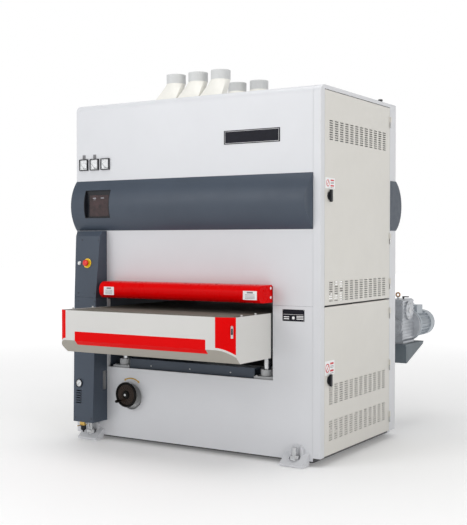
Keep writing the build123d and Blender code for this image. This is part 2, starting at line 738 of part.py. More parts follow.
def make_pressure_rollers():
    """Rubber hold-down rollers in front of and behind the heads."""
    for name, y in (("infeed", -pressure_y), ("outfeed", pressure_y)):
        roller = rod(pressure_radius, (belt_left, y, pressure_z), (belt_right, y, pressure_z))
        roller += rod(
            15, (side_left_x - side_plate, y, pressure_z), (side_right_x + side_plate, y, pressure_z)
        )
        save(f"{name}_pressure_roller", roller)


# ---------------------------------------------------------------- table lift
def make_lift():
    """Jack bases, chain channels, the worm box of the lift and its handwheel."""
    bases = []
    for x, y in jack_places:
        base = block(x - 62, x + 62, y - 50, y + 50, sill_z, sill_z + 14)
        base += rod(38, (x, y, sill_z + 14), (x, y, jack_top_z))
        base -= rod(screw_radius + 0.3, (x, y, sill_z - 1), (x, y, jack_top_z + 1))
        bases.append(base)
    save("jack_bases", *bases)

    x0, x1 = jack_places[0][0] + 64, jack_places[1][0] - 64
    channels = []
    for _, y in jack_places[::2]:
        channel = block(x0, x1, y - 40, y + 40, sill_z, 522)
        channel -= block(x0 - 1, x1 + 1, y - 34, y + 34, sill_z + 6, 516)
        channels.append(channel)
    save("chain_channels", *channels)

    box = block(wheel_x - 62, wheel_x + 62, -506, -410, 205, 396)
    box += rod(74, (wheel_x, -520, 296), (wheel_x, -506, 296))
    box -= rod(wheel_shaft + running_gap, (wheel_x, -521, wheel_z), (wheel_x, -420, wheel_z))
    box += block(wheel_x - 55, wheel_x + 55, -500, -448, 110, 205)
    save("lift_gearbox", box)

    wheel = rod(wheel_radius, (wheel_x, wheel_y, wheel_z), (wheel_x, wheel_y + 20, wheel_z))
    dish = ((wheel_x, wheel_y - 1, wheel_z), (wheel_x, wheel_y + 9, wheel_z))
    wheel -= sleeve(wheel_radius - 13, hub_radius, *dish)
    wheel += rod(hub_radius, (wheel_x, wheel_y - 6, wheel_z), (wheel_x, wheel_y + 44, wheel_z))
    wheel += rod(wheel_shaft, (wheel_x, wheel_y + 40, wheel_z), (wheel_x, -424, wheel_z))
    grip_x, grip_z = wheel_x - 38, wheel_z - 38
    wheel += rod(5, (grip_x, wheel_y + 12, grip_z), (grip_x, wheel_y - 8, grip_z))
    wheel += rod(10, (grip_x, wheel_y - 8, grip_z), (grip_x, wheel_y - 46, grip_z))
    save("handwheel", wheel)


def make_jack_screws():
    """Four lift screws that hang from the table and turn in their bases."""
    screws = []
    for x, y in jack_places:
        screw = rod(screw_radius, (x, y, 300), (x, y, 622))
        screw += block(x - 40, x + 40, y - 40, y + 40, 622, 640)
        screws.append(screw)
    save("jack_screws", *screws)


# ---------------------------------------------------------------- conveyor table
def make_table():
    """Table frame with its bed, rollers and endless belt."""
    low_z = 640
    frame = block(belt_left - 5, belt_right + 5, -795, 750, 828, 841)
    for x0 in (belt_left - 16, belt_right + 4):
        frame += block(x0, x0 + 12, front_roller_y - 30, rear_roller_y + 45, 700, 836)
        frame += block(x0, x0 + 12, -520, rear_roller_y + 45, low_z, 700)
    for y in (-520, -60, 420, 700):
        frame += block(belt_left - 4, belt_right + 4, y, y + 100, low_z, low_z + 90)
        frame -= block(belt_left - 2, belt_right + 2, y + 6, y + 94, low_z + 6, low_z + 84)
    for x in (-300, 240):
        frame += block(x - 4, x + 4, -795, 750, 760, 829)
    axles = ((front_roller_y, 15), (rear_roller_y, 20))
    for y, radius in axles:
        frame -= rod(radius + running_gap, (-620, y, conveyor_axis_z), (560, y, conveyor_axis_z))
    for x0, x1 in (
        (table_left + cover_wall, belt_left - 16),
        (belt_right + 16, table_right - cover_wall),
    ):
        frame += block(x0, x1, -670, -610, 715, 775)
    bracket = block(belt_right + 16, 885, 690, 1010, 563, 575)
    bracket += block(belt_right + 16, 885, 699, 711, 451, 564)
    for x in (belt_right + 16, 873):
        outline = [(699, 451), (711, 451), (1000, 556), (1000, 564), (699, 564)]
        bracket += prism_x(outline, x, x + 12)
    bracket += block(belt_right + 16, belt_right + 28, 699, 860, 563, 830)
    bracket -= rod(24, (500, rear_roller_y, conveyor_axis_z), (600, rear_roller_y, conveyor_axis_z))
    save("table_frame", frame, bracket)

    for name, y, axle, axle_end in (
        ("idler_roller", front_roller_y, 15, 548),
        ("drive_roller", rear_roller_y, 20, 866),
    ):
        roller = rod(
            conveyor_radius, (belt_left, y, conveyor_axis_z), (belt_right, y, conveyor_axis_z)
        )
        roller += rod(axle, (-608, y, conveyor_axis_z), (axle_end, y, conveyor_axis_z))
        save(name, roller)

    inner = conveyor_radius + 0.3
    belt = conveyor_body(inner + conveyor_belt_thickness, belt_left, belt_right)
    belt -= conveyor_body(inner, belt_left - 1, belt_right + 1)
    save("conveyor_belt", belt)


def conveyor_body(radius, x0, x1):
    """The solid that a level belt round two rollers of that radius encloses."""
    low_z, high_z = conveyor_axis_z - radius, conveyor_axis_z + radius
    body = block(x0, x1, front_roller_y, rear_roller_y, low_z, high_z)
    for y in (front_roller_y, rear_roller_y):
        body += rod(radius, (x0, y, conveyor_axis_z), (x1, y, conveyor_axis_z))
    return body


# ---------------------------------------------------------------- table cover
def corner_arc(start_x, start_y, end_x, end_y):
    """An arc in plan that leaves the apron's front smoothly and curves back to a corner."""
    across, back = end_x - start_x, end_y - start_y
    radius = (across**2 + back**2) / (2 * back)
    half = asin(abs(across) / radius) / 2
    middle_x = start_x + (1 if across > 0 else -1) * radius * sin(half)
    middle = (middle_x, start_y + radius - radius * cos(half))
    return ThreePointArc((start_x, start_y), middle, (end_x, end_y))


def cover_solid(inset):
    """The apron's full outline, or the hollow in it if inset is given."""
    x0, x1 = table_left - table_flare + inset, table_right - inset
    y0, y1, back = table_front_y + inset, table_front_y + inset + cap_back, -534 + inset * 2
    edge = Line((x0 + left_cap, y0), (x1 - cap_start, y0))
    edge += corner_arc(x1 - cap_start, y0, x1, y1)
    edge += Polyline((x1, y1), (x1, back), (table_left + inset, back))
    edge += Polyline((table_left + inset, back), (table_left + inset, flare_back), (x0, y1))
    edge += corner_arc(x0 + left_cap, y0, x0, y1)
    low = cover_low_z - 1
    plan = Pos(0, 0, low) * extrude(make_face(edge), amount=cover_top_z + inset - low)
    slope = inset * 0.42  # what keeps the sloping wall as thick as the rest
    outline = [
        (y0, cover_edge_z + slope),
        (y0, cover_top_z + inset),
        (-530 + inset * 2, cover_top_z + inset),
        (-530 + inset * 2, cover_low_z - inset),
        (y0 + slope_run + slope, cover_low_z - inset),
        (y0 + slope_run + slope, cover_low_z),
    ]
    return plan & prism_x(outline, table_left - table_flare - 1, table_right + 1)


def make_table_cover():
    """Light apron round the front of the table, and the two red caps on its corners."""
    shell = cover_solid(0) - cover_solid(cover_wall)
    y0, y1 = table_front_y, table_front_y + cap_back
    over_slope = [
        (y0 - 2, cover_edge_z + cap_lift + 2),
        (y0 + slope_run, cover_low_z + cap_lift),
        (y0 + slope_run, cover_top_z + 20),
        (y0 - 2, cover_top_z + 20),
    ]
    caps = []
    corner_x = table_left - table_flare
    for x0, x1 in (
        (corner_x - 1, corner_x + left_cap - 1),
        (table_right - cap_start + 1, table_right + 1),
    ):
        corner = block(x0, x1, y0 - 1, y1 - 1, 600, 900) & prism_x(over_slope, x0, x1)
        caps.append(shell & corner)
        shell -= corner
    for x, y, inward in ((-642, -840, 1), (-614, -690, 1), (552, -840, -1), (552, -690, -1)):
        shell += rod(5, (x, y, cover_top_z - 3), (x, y, cover_top_z + 9))
        tab = sorted((x - inward * 8, x + inward * 6))
        shell += block(*tab, y - 8, y + 8, cover_top_z - 5, cover_top_z - 2)
    save("table_cover", shell)
    save("corner_caps", *caps)


# ---------------------------------------------------------------- feed drive
def make_feed_drive():
    """Worm gearbox on the end of the drive roller, with its flanged motor."""
    y0, y1 = gearbox_y
    x0, x1 = gearbox_x
    roller_axis = (rear_roller_y, conveyor_axis_z)
    box = block(x0 + 6, x1 - 6, y0 + 6, y1 - 6, 590, 870)
    box = fillet(box.edges().filter_by(Axis.Y), 18)
    box += block(x0, x1, y0 + 4, y1 - 4, 576, 592)
    for z in range(612, 860, 22):
        box += block(x0 + 1, x1 - 1, y0 + 1, y1 - 1, z, z + 6)
    box += rod(60, (worm_x, y0 - 12, worm_z), (worm_x, y0 + 10, worm_z))
    box += rod(44, (worm_x, y0 - 18, worm_z), (worm_x, y0 - 12, worm_z))
    box += rod(62, (x0 - 6, *roller_axis), (x0 + 10, *roller_axis))
    box += rod(62, (x1 - 10, *roller_axis), (x1 + 6, *roller_axis))
    box += rod(104, (worm_x, y1 - 8, worm_z), (worm_x, y1 + 12, worm_z))
    box += rod(7, (worm_x, 780, 868), (worm_x, 780, 884))
    box += Pos(worm_x, 780, 898) * Rot(90, 0, 0) * Torus(13, 4.5)
    box -= rod(20 + running_gap, (x0 - 10, *roller_axis), (x1 + 10, *roller_axis))
    save("feed_gearbox", box)

    m0, m1 = y1 + 12, feed_motor_end_y
    motor = rod(108, (worm_x, m0, worm_z), (worm_x, m0 + 18, worm_z))
    motor += rod(76, (worm_x, m0, worm_z), (worm_x, m1, worm_z))
    motor += rod(88, (worm_x, m1 - 70, worm_z), (worm_x, m1, worm_z))
    for step in range(20):
        fin = block(worm_x - 1.5, worm_x + 1.5, m0 + 18, m1 - 70, worm_z + 70, worm_z + 88)
        motor += fin.rotate(Axis((worm_x, 0, worm_z), (0, 1, 0)), step * 18)
    motor += block(worm_x - 52, worm_x + 52, m0 + 60, m0 + 165, worm_z + 74, worm_z + 132)
    save("feed_motor", motor)


os.makedirs("parts", exist_ok=True)
make_base_frame()
make_feet()
make_side_frames()
make_corner_posts()
make_cross_beams()
make_lower_front_panel()
make_middle_front_panel()
make_front_band()
make_touch_screen()
make_upper_front_panel()
make_roof()
make_rear_panels()
make_rear_band()
make_doors()
make_dust_outlets()
make_control_column()
make_buttons()
make_pressure_gauge()
make_filter_regulator()
make_meters()
make_infeed_guard()
make_heads()
make_pressure_rollers()
make_lift()
make_jack_screws()
make_table()
make_table_cover()
make_feed_drive()
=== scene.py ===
import math

import bmesh
import bpy
from mathutils import Matrix, Vector


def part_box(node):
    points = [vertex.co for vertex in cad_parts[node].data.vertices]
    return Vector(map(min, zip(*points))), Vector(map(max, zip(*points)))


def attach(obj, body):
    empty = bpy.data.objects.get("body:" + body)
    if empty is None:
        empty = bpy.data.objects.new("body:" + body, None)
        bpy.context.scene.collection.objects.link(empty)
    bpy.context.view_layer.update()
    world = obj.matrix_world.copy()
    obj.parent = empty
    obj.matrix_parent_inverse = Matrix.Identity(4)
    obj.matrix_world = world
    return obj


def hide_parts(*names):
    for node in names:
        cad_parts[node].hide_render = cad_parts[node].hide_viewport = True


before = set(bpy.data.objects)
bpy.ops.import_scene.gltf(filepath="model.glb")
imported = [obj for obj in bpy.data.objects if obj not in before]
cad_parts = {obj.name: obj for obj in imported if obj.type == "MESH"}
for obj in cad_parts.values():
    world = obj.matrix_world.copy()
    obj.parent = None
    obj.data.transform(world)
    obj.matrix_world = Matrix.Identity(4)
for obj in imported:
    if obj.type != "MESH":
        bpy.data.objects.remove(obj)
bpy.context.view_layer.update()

# ------------------------------------------------------------------ places in mm, and directions
MM = 0.001
LEFT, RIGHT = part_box("corner_posts")[0].x / MM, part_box("corner_posts")[1].x / MM
FRONT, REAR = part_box("corner_posts")[0].y / MM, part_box("corner_posts")[1].y / MM
MIDDLE = (FRONT + REAR) / 2  # the middle of the cabinet, front to back
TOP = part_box("roof_panel")[1].z / MM
FRONTWARD, REARWARD, UPWARD = (0, -1, 0), (0, 1, 0), (0, 0, 1)
RIGHTWARD, LEFTWARD = (1, 0, 0), (-1, 0, 0)
BADGE_X, BADGE_Z, BADGE_SIZE = 432, 1857, (374, 80)
DATA_PLATE_X, DATA_PLATE_Z, DATA_PLATE_SIZE = 705.5, 839, (139, 66)
COLUMN_FOOT, COLUMN_SPLIT, COLUMN_SHOULDER = 125, 905, 1287  # heights where its lean changes
FOOT_DEPTH, SPLIT_DEPTH, SHOULDER_DEPTH = 143, 110, 67  # how deep the column is there
BUTTON_Z, STOP_X, START_X = 1117, -715, -778
GAUGE_X, GAUGE_Z = -744, 366
STRIPE_X, STRIPE_TOP, STRIPE_UNDER = (-536, 389), 722, 27
LOUVRE_ROWS, LOUVRE_START, LOUVRE_PITCH = (1820, 914, 333, 129), 107, (68, 13)
OUTLET_Y, OUTLET_LEAN = (-300, 165), 95
MOTOR_AXIS_Z = 686
CAMERA_PLACE, CAMERA_LENS = (3316.6, MIDDLE - 5388.2, 1252.0), 67.43
CAMERA_DIP, CAMERA_TURN = 1.21, 31.76  # degrees below level, and round from the front
AWAY = (-0.526, 0.85, 0)  # the direction that the camera looks in
RED = (0.72, 0.0005, 0.001)


def extent(node):
    """Lowest and highest corner of a CAD node, in mm."""
    low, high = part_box(node)
    return low / MM, high / MM


# ------------------------------------------------------------------ materials
def linked(tree, kind, **inputs):
    """A new node with its constant inputs set."""
    node = tree.nodes.new(kind)
    for key, value in inputs.items():
        node.inputs[key.replace("_", " ")].default_value = value
    return node


def calculated(tree, operation, first, second):
    """The result of a sum or a comparison of a socket with a socket or a number."""
    node = tree.nodes.new("ShaderNodeMath")
    node.operation = operation
    tree.links.new(first, node.inputs[0])
    if isinstance(second, (int, float)):
        node.inputs[1].default_value = second
    else:
        tree.links.new(second, node.inputs[1])
    return node.outputs[0]


def material(
    name, color, rough=0.4, metal=0.0, mottle=0.04, patch=5.0, grain=0.1, grain_size=900.0,
    depth=0.0002, coat=0.0, vary=0.06, stretch=(1, 1, 1), alpha=1.0, glow=0.0, shine=0.5,
):
    """A principled material whose colour, roughness and bump come from noise."""
    made = bpy.data.materials.new(name)
    made.use_nodes = True
    tree = made.node_tree
    shader = tree.nodes["Principled BSDF"]
    shader.inputs["Metallic"].default_value = metal
    shader.inputs["Specular IOR Level"].default_value = shine
    shader.inputs["Coat Weight"].default_value = coat
    shader.inputs["Coat Roughness"].default_value = 0.08
    shader.inputs["Alpha"].default_value = alpha
    coord = tree.nodes.new("ShaderNodeTexCoord")
    scaled = linked(tree, "ShaderNodeMapping", Scale=stretch)
    tree.links.new(coord.outputs["Object"], scaled.inputs["Vector"])

    cloud = linked(tree, "ShaderNodeTexNoise", Scale=patch, Detail=5.0, Roughness=0.6)
    tree.links.new(scaled.outputs["Vector"], cloud.inputs["Vector"])
    ramp = tree.nodes.new("ShaderNodeValToRGB")
    ramp.color_ramp.elements[0].position = 0.3
    ramp.color_ramp.elements[1].position = 0.7
    for element, share in zip(ramp.color_ramp.elements, (1 - mottle, 1 + mottle)):
        element.color = (*[min(c * share, 1.0) for c in color], 1)
    tree.links.new(cloud.outputs["Fac"], ramp.inputs["Fac"])
    tree.links.new(ramp.outputs["Color"], shader.inputs["Base Color"])
    if glow:
        tree.links.new(ramp.outputs["Color"], shader.inputs["Emission Color"])
        shader.inputs["Emission Strength"].default_value = glow

    smear = linked(tree, "ShaderNodeTexNoise", Scale=patch * 6, Detail=3.0)
    tree.links.new(scaled.outputs["Vector"], smear.inputs["Vector"])
    span = tree.nodes.new("ShaderNodeMapRange")
    span.inputs["From Min"].default_value = 0.3
    span.inputs["From Max"].default_value = 0.7
    span.inputs["To Min"].default_value = max(rough - vary, 0.02)
    span.inputs["To Max"].default_value = min(rough + vary, 1.0)
    tree.links.new(smear.outputs["Fac"], span.inputs["Value"])
    tree.links.new(span.outputs["Result"], shader.inputs["Roughness"])

    fine = linked(tree, "ShaderNodeTexNoise", Scale=grain_size, Detail=2.0)
    tree.links.new(scaled.outputs["Vector"], fine.inputs["Vector"])
    bump = linked(tree, "ShaderNodeBump", Strength=grain, Distance=depth)
    tree.links.new(fine.outputs["Fac"], bump.inputs["Height"])
    tree.links.new(bump.outputs["Normal"], shader.inputs["Normal"])
    return made


def woven(made, pitch, strength, distance):
    """Adds a cross-ribbed weave of that pitch, in mm, to a material's bump."""
    tree = made.node_tree
    bump = tree.nodes["Bump"]
    fine = bump.inputs["Height"].links[0].from_socket
    coord = tree.nodes["Texture Coordinate"]
    heights = []
    for direction in ("X", "Y"):
        wave = linked(tree, "ShaderNodeTexWave", Scale=1000 / pitch / 20, Distortion=0.6)
        wave.bands_direction = direction
        tree.links.new(coord.outputs["Object"], wave.inputs["Vector"])
        heights.append(wave.outputs["Fac"])
    crossed = calculated(tree, "MULTIPLY", *heights)
    tree.links.new(calculated(tree, "ADD", crossed, fine), bump.inputs["Height"])
    bump.inputs["Strength"].default_value = strength
    bump.inputs["Distance"].default_value = distance
    return made


def masked(made, rules, color):
    """Paints a colour over a material where every rule holds.

    A rule is (axis, test, limit). The axis is x, y or z for a place in metres, or nx, ny or nz
    for the direction that the surface faces.
    """
    tree = made.node_tree
    coord = tree.nodes["Texture Coordinate"]
    share = None
    for axis, test, limit in rules:
        split = tree.nodes.new("ShaderNodeSeparateXYZ")
        source = "Normal" if axis.startswith("n") else "Object"
        tree.links.new(coord.outputs[source], split.inputs[0])
        held = calculated(tree, test, split.outputs[axis[-1].upper()], limit)
        share = held if share is None else calculated(tree, "MULTIPLY", share, held)
    shader = tree.nodes["Principled BSDF"]
    before = shader.inputs["Base Color"].links[0].from_socket
    mix = tree.nodes.new("ShaderNodeMix")
    mix.data_type = "RGBA"
    paint = [one for one in mix.inputs if one.type == "RGBA"]
    paint[1].default_value = (*color, 1)
    tree.links.new(share, mix.inputs["Factor"])
    tree.links.new(before, paint[0])
    result = [one for one in mix.outputs if one.type == "RGBA"][0]
    tree.links.new(result, shader.inputs["Base Color"])
    return made


# each look: the record's slot that it belongs to, and its material
LOOKS = {
    "light": ("light_paint", material(
        "light_paint_look", (0.645, 0.655, 0.68), 0.38, mottle=0.015, patch=3, grain=0.12,
        grain_size=620, coat=0.1)),
    # doors and side covers: the light paint with a warm tint; the paint is real, the warm tint is
    # painted warm light from the right
    "warm": ("warm_paint", material(
        "side_paint_warm_light_tint_look", (0.665, 0.65, 0.61), 0.42, mottle=0.018, patch=3, grain=0.12,
        grain_size=620, coat=0.08)),
    # apron: faces that point downwards are painted a darker khaki, which is painted shade
    "apron": ("light_paint", masked(material(
        "apron_paint_shaded_underside_look", (0.65, 0.645, 0.625), 0.4, mottle=0.015, patch=3, grain=0.12,
        grain_size=620, shine=0.06), (("nz", "LESS_THAN", -0.45),), (0.36, 0.34, 0.3))),
    "spigot": ("light_paint", material(
        "spigot_look", (0.6, 0.61, 0.61), 0.45, mottle=0.04, patch=14, grain=0.1)),
    "hood": ("light_paint", material(
        "hood_look", (0.78, 0.77, 0.72), 0.42, mottle=0.035, patch=12, grain=0.15)),
    "dark": ("dark_paint", material(
        "dark_paint_look", (0.056, 0.072, 0.098), 0.4, mottle=0.06, patch=4, grain=0.1,
        grain_size=620, shine=0.3)),
    # the table frame is painted a dark blue-grey for the shade on the feed drive's bracket:
    # painted shade
    "bracket": ("dark_paint", material(
        "bracket_look", (0.13, 0.155, 0.175), 0.45, mottle=0.08, patch=10, grain=0.15,
        grain_size=520, shine=0.3)),
    "red": ("red_paint", material(
        "red_paint_look", RED, 0.3, mottle=0.03, patch=4, grain=0.05, grain_size=520,
        shine=0.05)),
    "steel": ("steel", material(
        "steel_look", (0.56, 0.57, 0.58), 0.3, metal=1.0, mottle=0.08, patch=22, grain=0.2,
        grain_size=300, stretch=(0.15, 1, 1))),
    "black_steel": ("black_steel", material(
        "black_steel_look", (0.035, 0.036, 0.04), 0.45, mottle=0.2, patch=18, grain=0.25)),
    "casting": ("grey_casting", material(
        "grey_casting_look", (0.48, 0.49, 0.5), 0.5, mottle=0.09, patch=20, grain=0.45,
        grain_size=420, depth=0.0004)),
    "housing": ("gear_housing", material(
        "gear_housing_look", (0.5, 0.52, 0.55), 0.36, metal=0.55, mottle=0.12, patch=24,
        grain=0.4, grain_size=380, depth=0.0004)),
    "motor": ("motor_paint", material(
        "motor_paint_look", (0.4, 0.44, 0.48), 0.4, mottle=0.07, patch=16, grain=0.3,
        grain_size=460)),
    "belt": ("conveyor_rubber", woven(material(
        "conveyor_rubber_look", (0.15, 0.14, 0.115), 0.82, mottle=0.14, patch=26, grain=0.5,
        grain_size=700), 4.0, 0.7, 0.0008)),
    "rubber": ("roller_rubber", material(
        "roller_rubber_look", (0.03, 0.03, 0.032), 0.7, mottle=0.15, patch=20, grain=0.3)),
    "abrasive": ("abrasive", material(
        "abrasive_look", (0.2, 0.075, 0.035), 0.9, mottle=0.3, patch=90, grain=1.0,
        grain_size=1600, depth=0.0005)),
    "black": ("black_plastic", material(
        "black_plastic_look", (0.01, 0.011, 0.015), 0.34, mottle=0.2, patch=20, grain=0.15,
        shine=0.3)),
    "wheel": ("black_plastic", material(
        "wheel_look", (0.006, 0.005, 0.004), 0.4, mottle=0.3, patch=12, grain=0.12, shine=0.12)),
    "wheel_ring": ("black_plastic", material(
        "wheel_ring_look", (0.05, 0.026, 0.015), 0.4, mottle=0.3, patch=30, grain=0.12)),
    "button_red": ("button_red", material(
        "button_red_look", (0.72, 0.02, 0.012), 0.25, mottle=0.06, patch=30, grain=0.08)),
    "button_white": ("button_white", material(
        "button_white_look", (0.82, 0.82, 0.8), 0.28, mottle=0.03, patch=30, grain=0.08)),
    "yellow": ("ring_plastic", material(
        "ring_plastic_look", (0.86, 0.58, 0.012), 0.32, mottle=0.05, patch=30, grain=0.08)),
    "decal_yellow": ("ring_plastic", material(
        "decal_yellow_look", (0.55, 0.33, 0.03), 0.5, mottle=0.22, patch=90, grain=0.1)),
    "white": ("button_white", material(
        "label_white_look", (0.84, 0.84, 0.85), 0.4, mottle=0.025, patch=40, grain=0.06)),
    "ink": ("black_plastic", material(
        "ink_look", (0.008, 0.008, 0.014), 0.45, mottle=0.2, patch=60, grain=0.05, shine=0.15)),
    "grey_ink": ("black_plastic", material(
        "grey_ink_look", (0.2, 0.2, 0.21), 0.5, mottle=0.12, patch=60, grain=0.05)),
    "red_ink": ("red_paint", material(
        "red_ink_look", (0.6, 0.02, 0.03), 0.5, mottle=0.1, patch=60, grain=0.05)),
    "screen": ("black_plastic", material(
        "screen_look", (0.035, 0.016, 0.017), 0.1, mottle=0.5, patch=26, grain=0.0, vary=0.02)),
    # pale bars on the screen that glow a little: painted highlights
    "glow": ("button_white", material(
        "screen_painted_highlight_look", (0.3, 0.3, 0.33), 0.3, mottle=0.2, patch=50, grain=0.0, glow=0.25)),
    "needle": ("needle", material(
        "needle_look", (0.02, 0.02, 0.02), 0.4, mottle=0.2, patch=60, grain=0.05)),
    "glass": ("glass", material(
        "glass_look", (0.9, 0.94, 0.95), 0.04, mottle=0.02, patch=12, grain=0.02, vary=0.02,
        alpha=0.14)),
    "brass": ("brass", material(
        "brass_look", (0.62, 0.42, 0.13), 0.28, metal=1.0, mottle=0.12, patch=40, grain=0.15)),
    "bronze": ("brass", material(
        "bronze_look", (0.52, 0.3, 0.16), 0.3, metal=1.0, mottle=0.12, patch=40, grain=0.15)),
}

NODE_LOOKS = {
    "light": "foot_brackets corner_posts lower_front_panel middle_front_panel"
    " upper_front_panel roof_panel rear_panels",
    "apron": "table_cover",
    "bracket": "table_frame",
    "warm": "upper_door lower_door left_side_covers",
    "hood": "dust_outlets",
    "dark": "side_frames cross_beams front_band rear_band control_column_upper"
    " control_column_lower chain_channels",
    "red": "infeed_guard corner_caps",
    "steel": "levelling_bolts door_hinges jack_screws idler_roller drive_roller contact_drum_front"
    " tension_roller_front tension_roller_rear motor_pulley_front motor_pulley_rear",
    "black_steel": "base_frame",
    "casting": "head_beams jack_bases lift_gearbox",
    "housing": "feed_gearbox",
    "motor": "main_motors feed_motor",
    "belt": "conveyor_belt",
    "rubber": "drive_belts contact_drum_rear infeed_pressure_roller outfeed_pressure_roller",
    "abrasive": "abrasive_belts",
    "black": "touch_screen ammeter_cases gauge_case upper_door_latch lower_door_latch",
    "wheel": "handwheel",
    "button_red": "e_stop_button",
    "button_white": "start_button",
    "yellow": "button_rings",
    "needle": "gauge_needle ammeter_needle_1 ammeter_needle_2 ammeter_needle_3",
    "glass": "meter_glasses",
    "brass": "filter_regulator",
}
for look, names in NODE_LOOKS.items():
    for name in names.split():
        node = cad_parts[name]
        for place in range(len(node.material_slots)):
            node.material_slots[place].material = LOOKS[look][1]


# ------------------------------------------------------------------ making shapes
def facing(origin, out, up=(0, 0, 1)):
    """A place in mm whose own +Z points out and whose own +Y points up."""
    z = Vector(out).normalized()
    x = Vector(up).cross(z).normalized()
    y = z.cross(x)
    turned = Matrix((x, y, z)).transposed().to_4x4()
    return Matrix.Translation(Vector(origin)) @ turned


def level(x, y, z):
    """A place in mm on a level surface."""
    return facing((x, y, z), UPWARD, REARWARD)


def add_turned(bm, profile, where, segments=40):
    """A turned shape from (radius, height) pairs."""
    rings = []
    for radius, height in profile:
        if radius == 0:
            rings.append([bm.verts.new(where @ Vector((0, 0, height)) * MM)])
            continue
        angles = [2 * math.pi * k / segments for k in range(segments)]
        ring = [(radius * math.cos(a), radius * math.sin(a), height) for a in angles]
        rings.append([bm.verts.new(where @ Vector(p) * MM) for p in ring])
    for low, high in zip(rings, rings[1:]):
        for k in range(segments):
            n = (k + 1) % segments
            corners = [low[k % len(low)], low[n % len(low)]]
            corners += [high[n % len(high)], high[k % len(high)]]
            unique = list(dict.fromkeys(corners))
            if len(unique) > 2:
                bm.faces.new(unique)


def add_ring(bm, profile, where, segments=40):
    """A turned shape whose outline closes on itself, as a tube or a washer."""
    add_turned(bm, [*profile, profile[0]], where, segments)
    bmesh.ops.remove_doubles(bm, verts=bm.verts, dist=1e-7)


def add_prism(bm, outline, depth, where):
    """A flat outline in own X and Y, pushed out by depth."""
    low = [bm.verts.new(where @ Vector((x, y, 0)) * MM) for x, y in outline]
    high = [bm.verts.new(where @ Vector((x, y, depth)) * MM) for x, y in outline]
    bm.faces.new(list(reversed(low)))
    bm.faces.new(high)
    for k in range(len(outline)):
        n = (k + 1) % len(outline)
        bm.faces.new((low[k], low[n], high[n], high[k]))


def add_eye(bm, radius, tube, where, around=40, across=14):
    """A ring of round section."""
    rings = []
    for k in range(around):
        a = 2 * math.pi * k / around
        ring = []
        for j in range(across):
            b = 2 * math.pi * j / across
            r = radius + tube * math.cos(b)
            spot = Vector((r * math.cos(a), r * math.sin(a), tube * math.sin(b)))
            ring.append(bm.verts.new(where @ spot * MM))
        rings.append(ring)
    for k in range(around):
        low, high = rings[k], rings[(k + 1) % around]
        for j in range(across):
            n = (j + 1) % across
            bm.faces.new((low[j], low[n], high[n], high[j]))


def rounded(width, height, corner, steps=5, centre=(0, 0)):
    """Outline of a rectangle with rounded corners."""
    points = []
    for turn, (sx, sy) in enumerate(((1, 1), (-1, 1), (-1, -1), (1, -1))):
        cx = centre[0] + sx * (width / 2 - corner)
        cy = centre[1] + sy * (height / 2 - corner)
        for k in range(steps + 1):
            a = math.pi / 2 * (turn + k / steps)
            points.append((cx + corner * math.cos(a), cy + corner * math.sin(a)))
    return points


def piece(name, bm, look, body="frame", bevel=0.0, sharp=35, replaces=()):
    """Makes an object of a shape, with its material and body."""
    bmesh.ops.recalc_face_normals(bm, faces=bm.faces)
    mesh = bpy.data.meshes.new(name)
    bm.to_mesh(mesh)
    bm.free()
    mesh.shade_smooth()
    mesh.set_sharp_from_angle(angle=math.radians(sharp))
    made = bpy.data.objects.new(name, mesh)
    bpy.context.scene.collection.objects.link(made)
    slot, finish = LOOKS[look]
    mesh.materials.append(finish)
    if bevel:
        rim = made.modifiers.new("rim", "BEVEL")
        rim.width = bevel * MM
        rim.segments = 2
        rim.limit_method = "ANGLE"
    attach(made, body)
    if replaces:
        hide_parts(*replaces)
    return made


def plate(name, where, width, height, thick, look, corner=2.0, body="frame", centre=(0, 0)):
    """A thin plate with rounded corners and softened edges."""
    bm = bmesh.new()
    add_prism(bm, rounded(width, height, corner, centre=centre), thick, where)
    return piece(name, bm, look, body, bevel=min(thick * 0.35, 0.6))


def bars(name, where, rows, look, thick=0.25, body="frame"):
    """Plain bars that stand for lines of print, and on the screen for painted highlights: each row
    is (x, y, width, height).
    """
    bm = bmesh.new()
    for x, y, width, height in rows:
        add_prism(bm, rounded(width, height, min(width, height) * 0.3, 2, (x, y)), thick, where)
    return piece(name, bm, look, body)


SCREW = [(0, 0.6), (0.35, 0.6), (0.42, 1.0), (0.72, 0.9), (0.95, 0.55), (1, 0)]


def screws(name, places, radius, look="steel", body="frame", height=None):
    """Round-headed screws, each with a socket, in one mesh."""
    bm = bmesh.new()
    tall = height or radius * 0.5
    for where in places:
        add_turned(bm, [(r * radius, h * tall) for r, h in reversed(SCREW)], where, 20)
    return piece(name, bm, look, body)


# ------------------------------------------------------------------ camera, light and floor
def make_camera():
    """The photograph's viewing angle."""
    lens = bpy.data.cameras.new("camera")
    lens.lens = CAMERA_LENS
    lens.sensor_width = 36
    lens.sensor_fit = "AUTO"
    lens.clip_end = 100
    camera = bpy.data.objects.new("camera", lens)
    bpy.context.scene.collection.objects.link(camera)
    camera.location = [distance * MM for distance in CAMERA_PLACE]
    camera.rotation_euler = (math.radians(90 - CAMERA_DIP), 0, math.radians(CAMERA_TURN))
    bpy.context.scene.camera = camera


def make_light(name, place, target, size, power, color):
    """One square soft light that looks at a target."""
    lamp = bpy.data.lights.new(name, "AREA")
    lamp.size = size
    lamp.energy = power
    lamp.color = color
    made = bpy.data.objects.new(name, lamp)
    bpy.context.scene.collection.objects.link(made)
    made.location = place
    aim = Vector(target) - Vector(place)
    made.rotation_euler = aim.to_track_quat("-Z", "Y").to_euler()


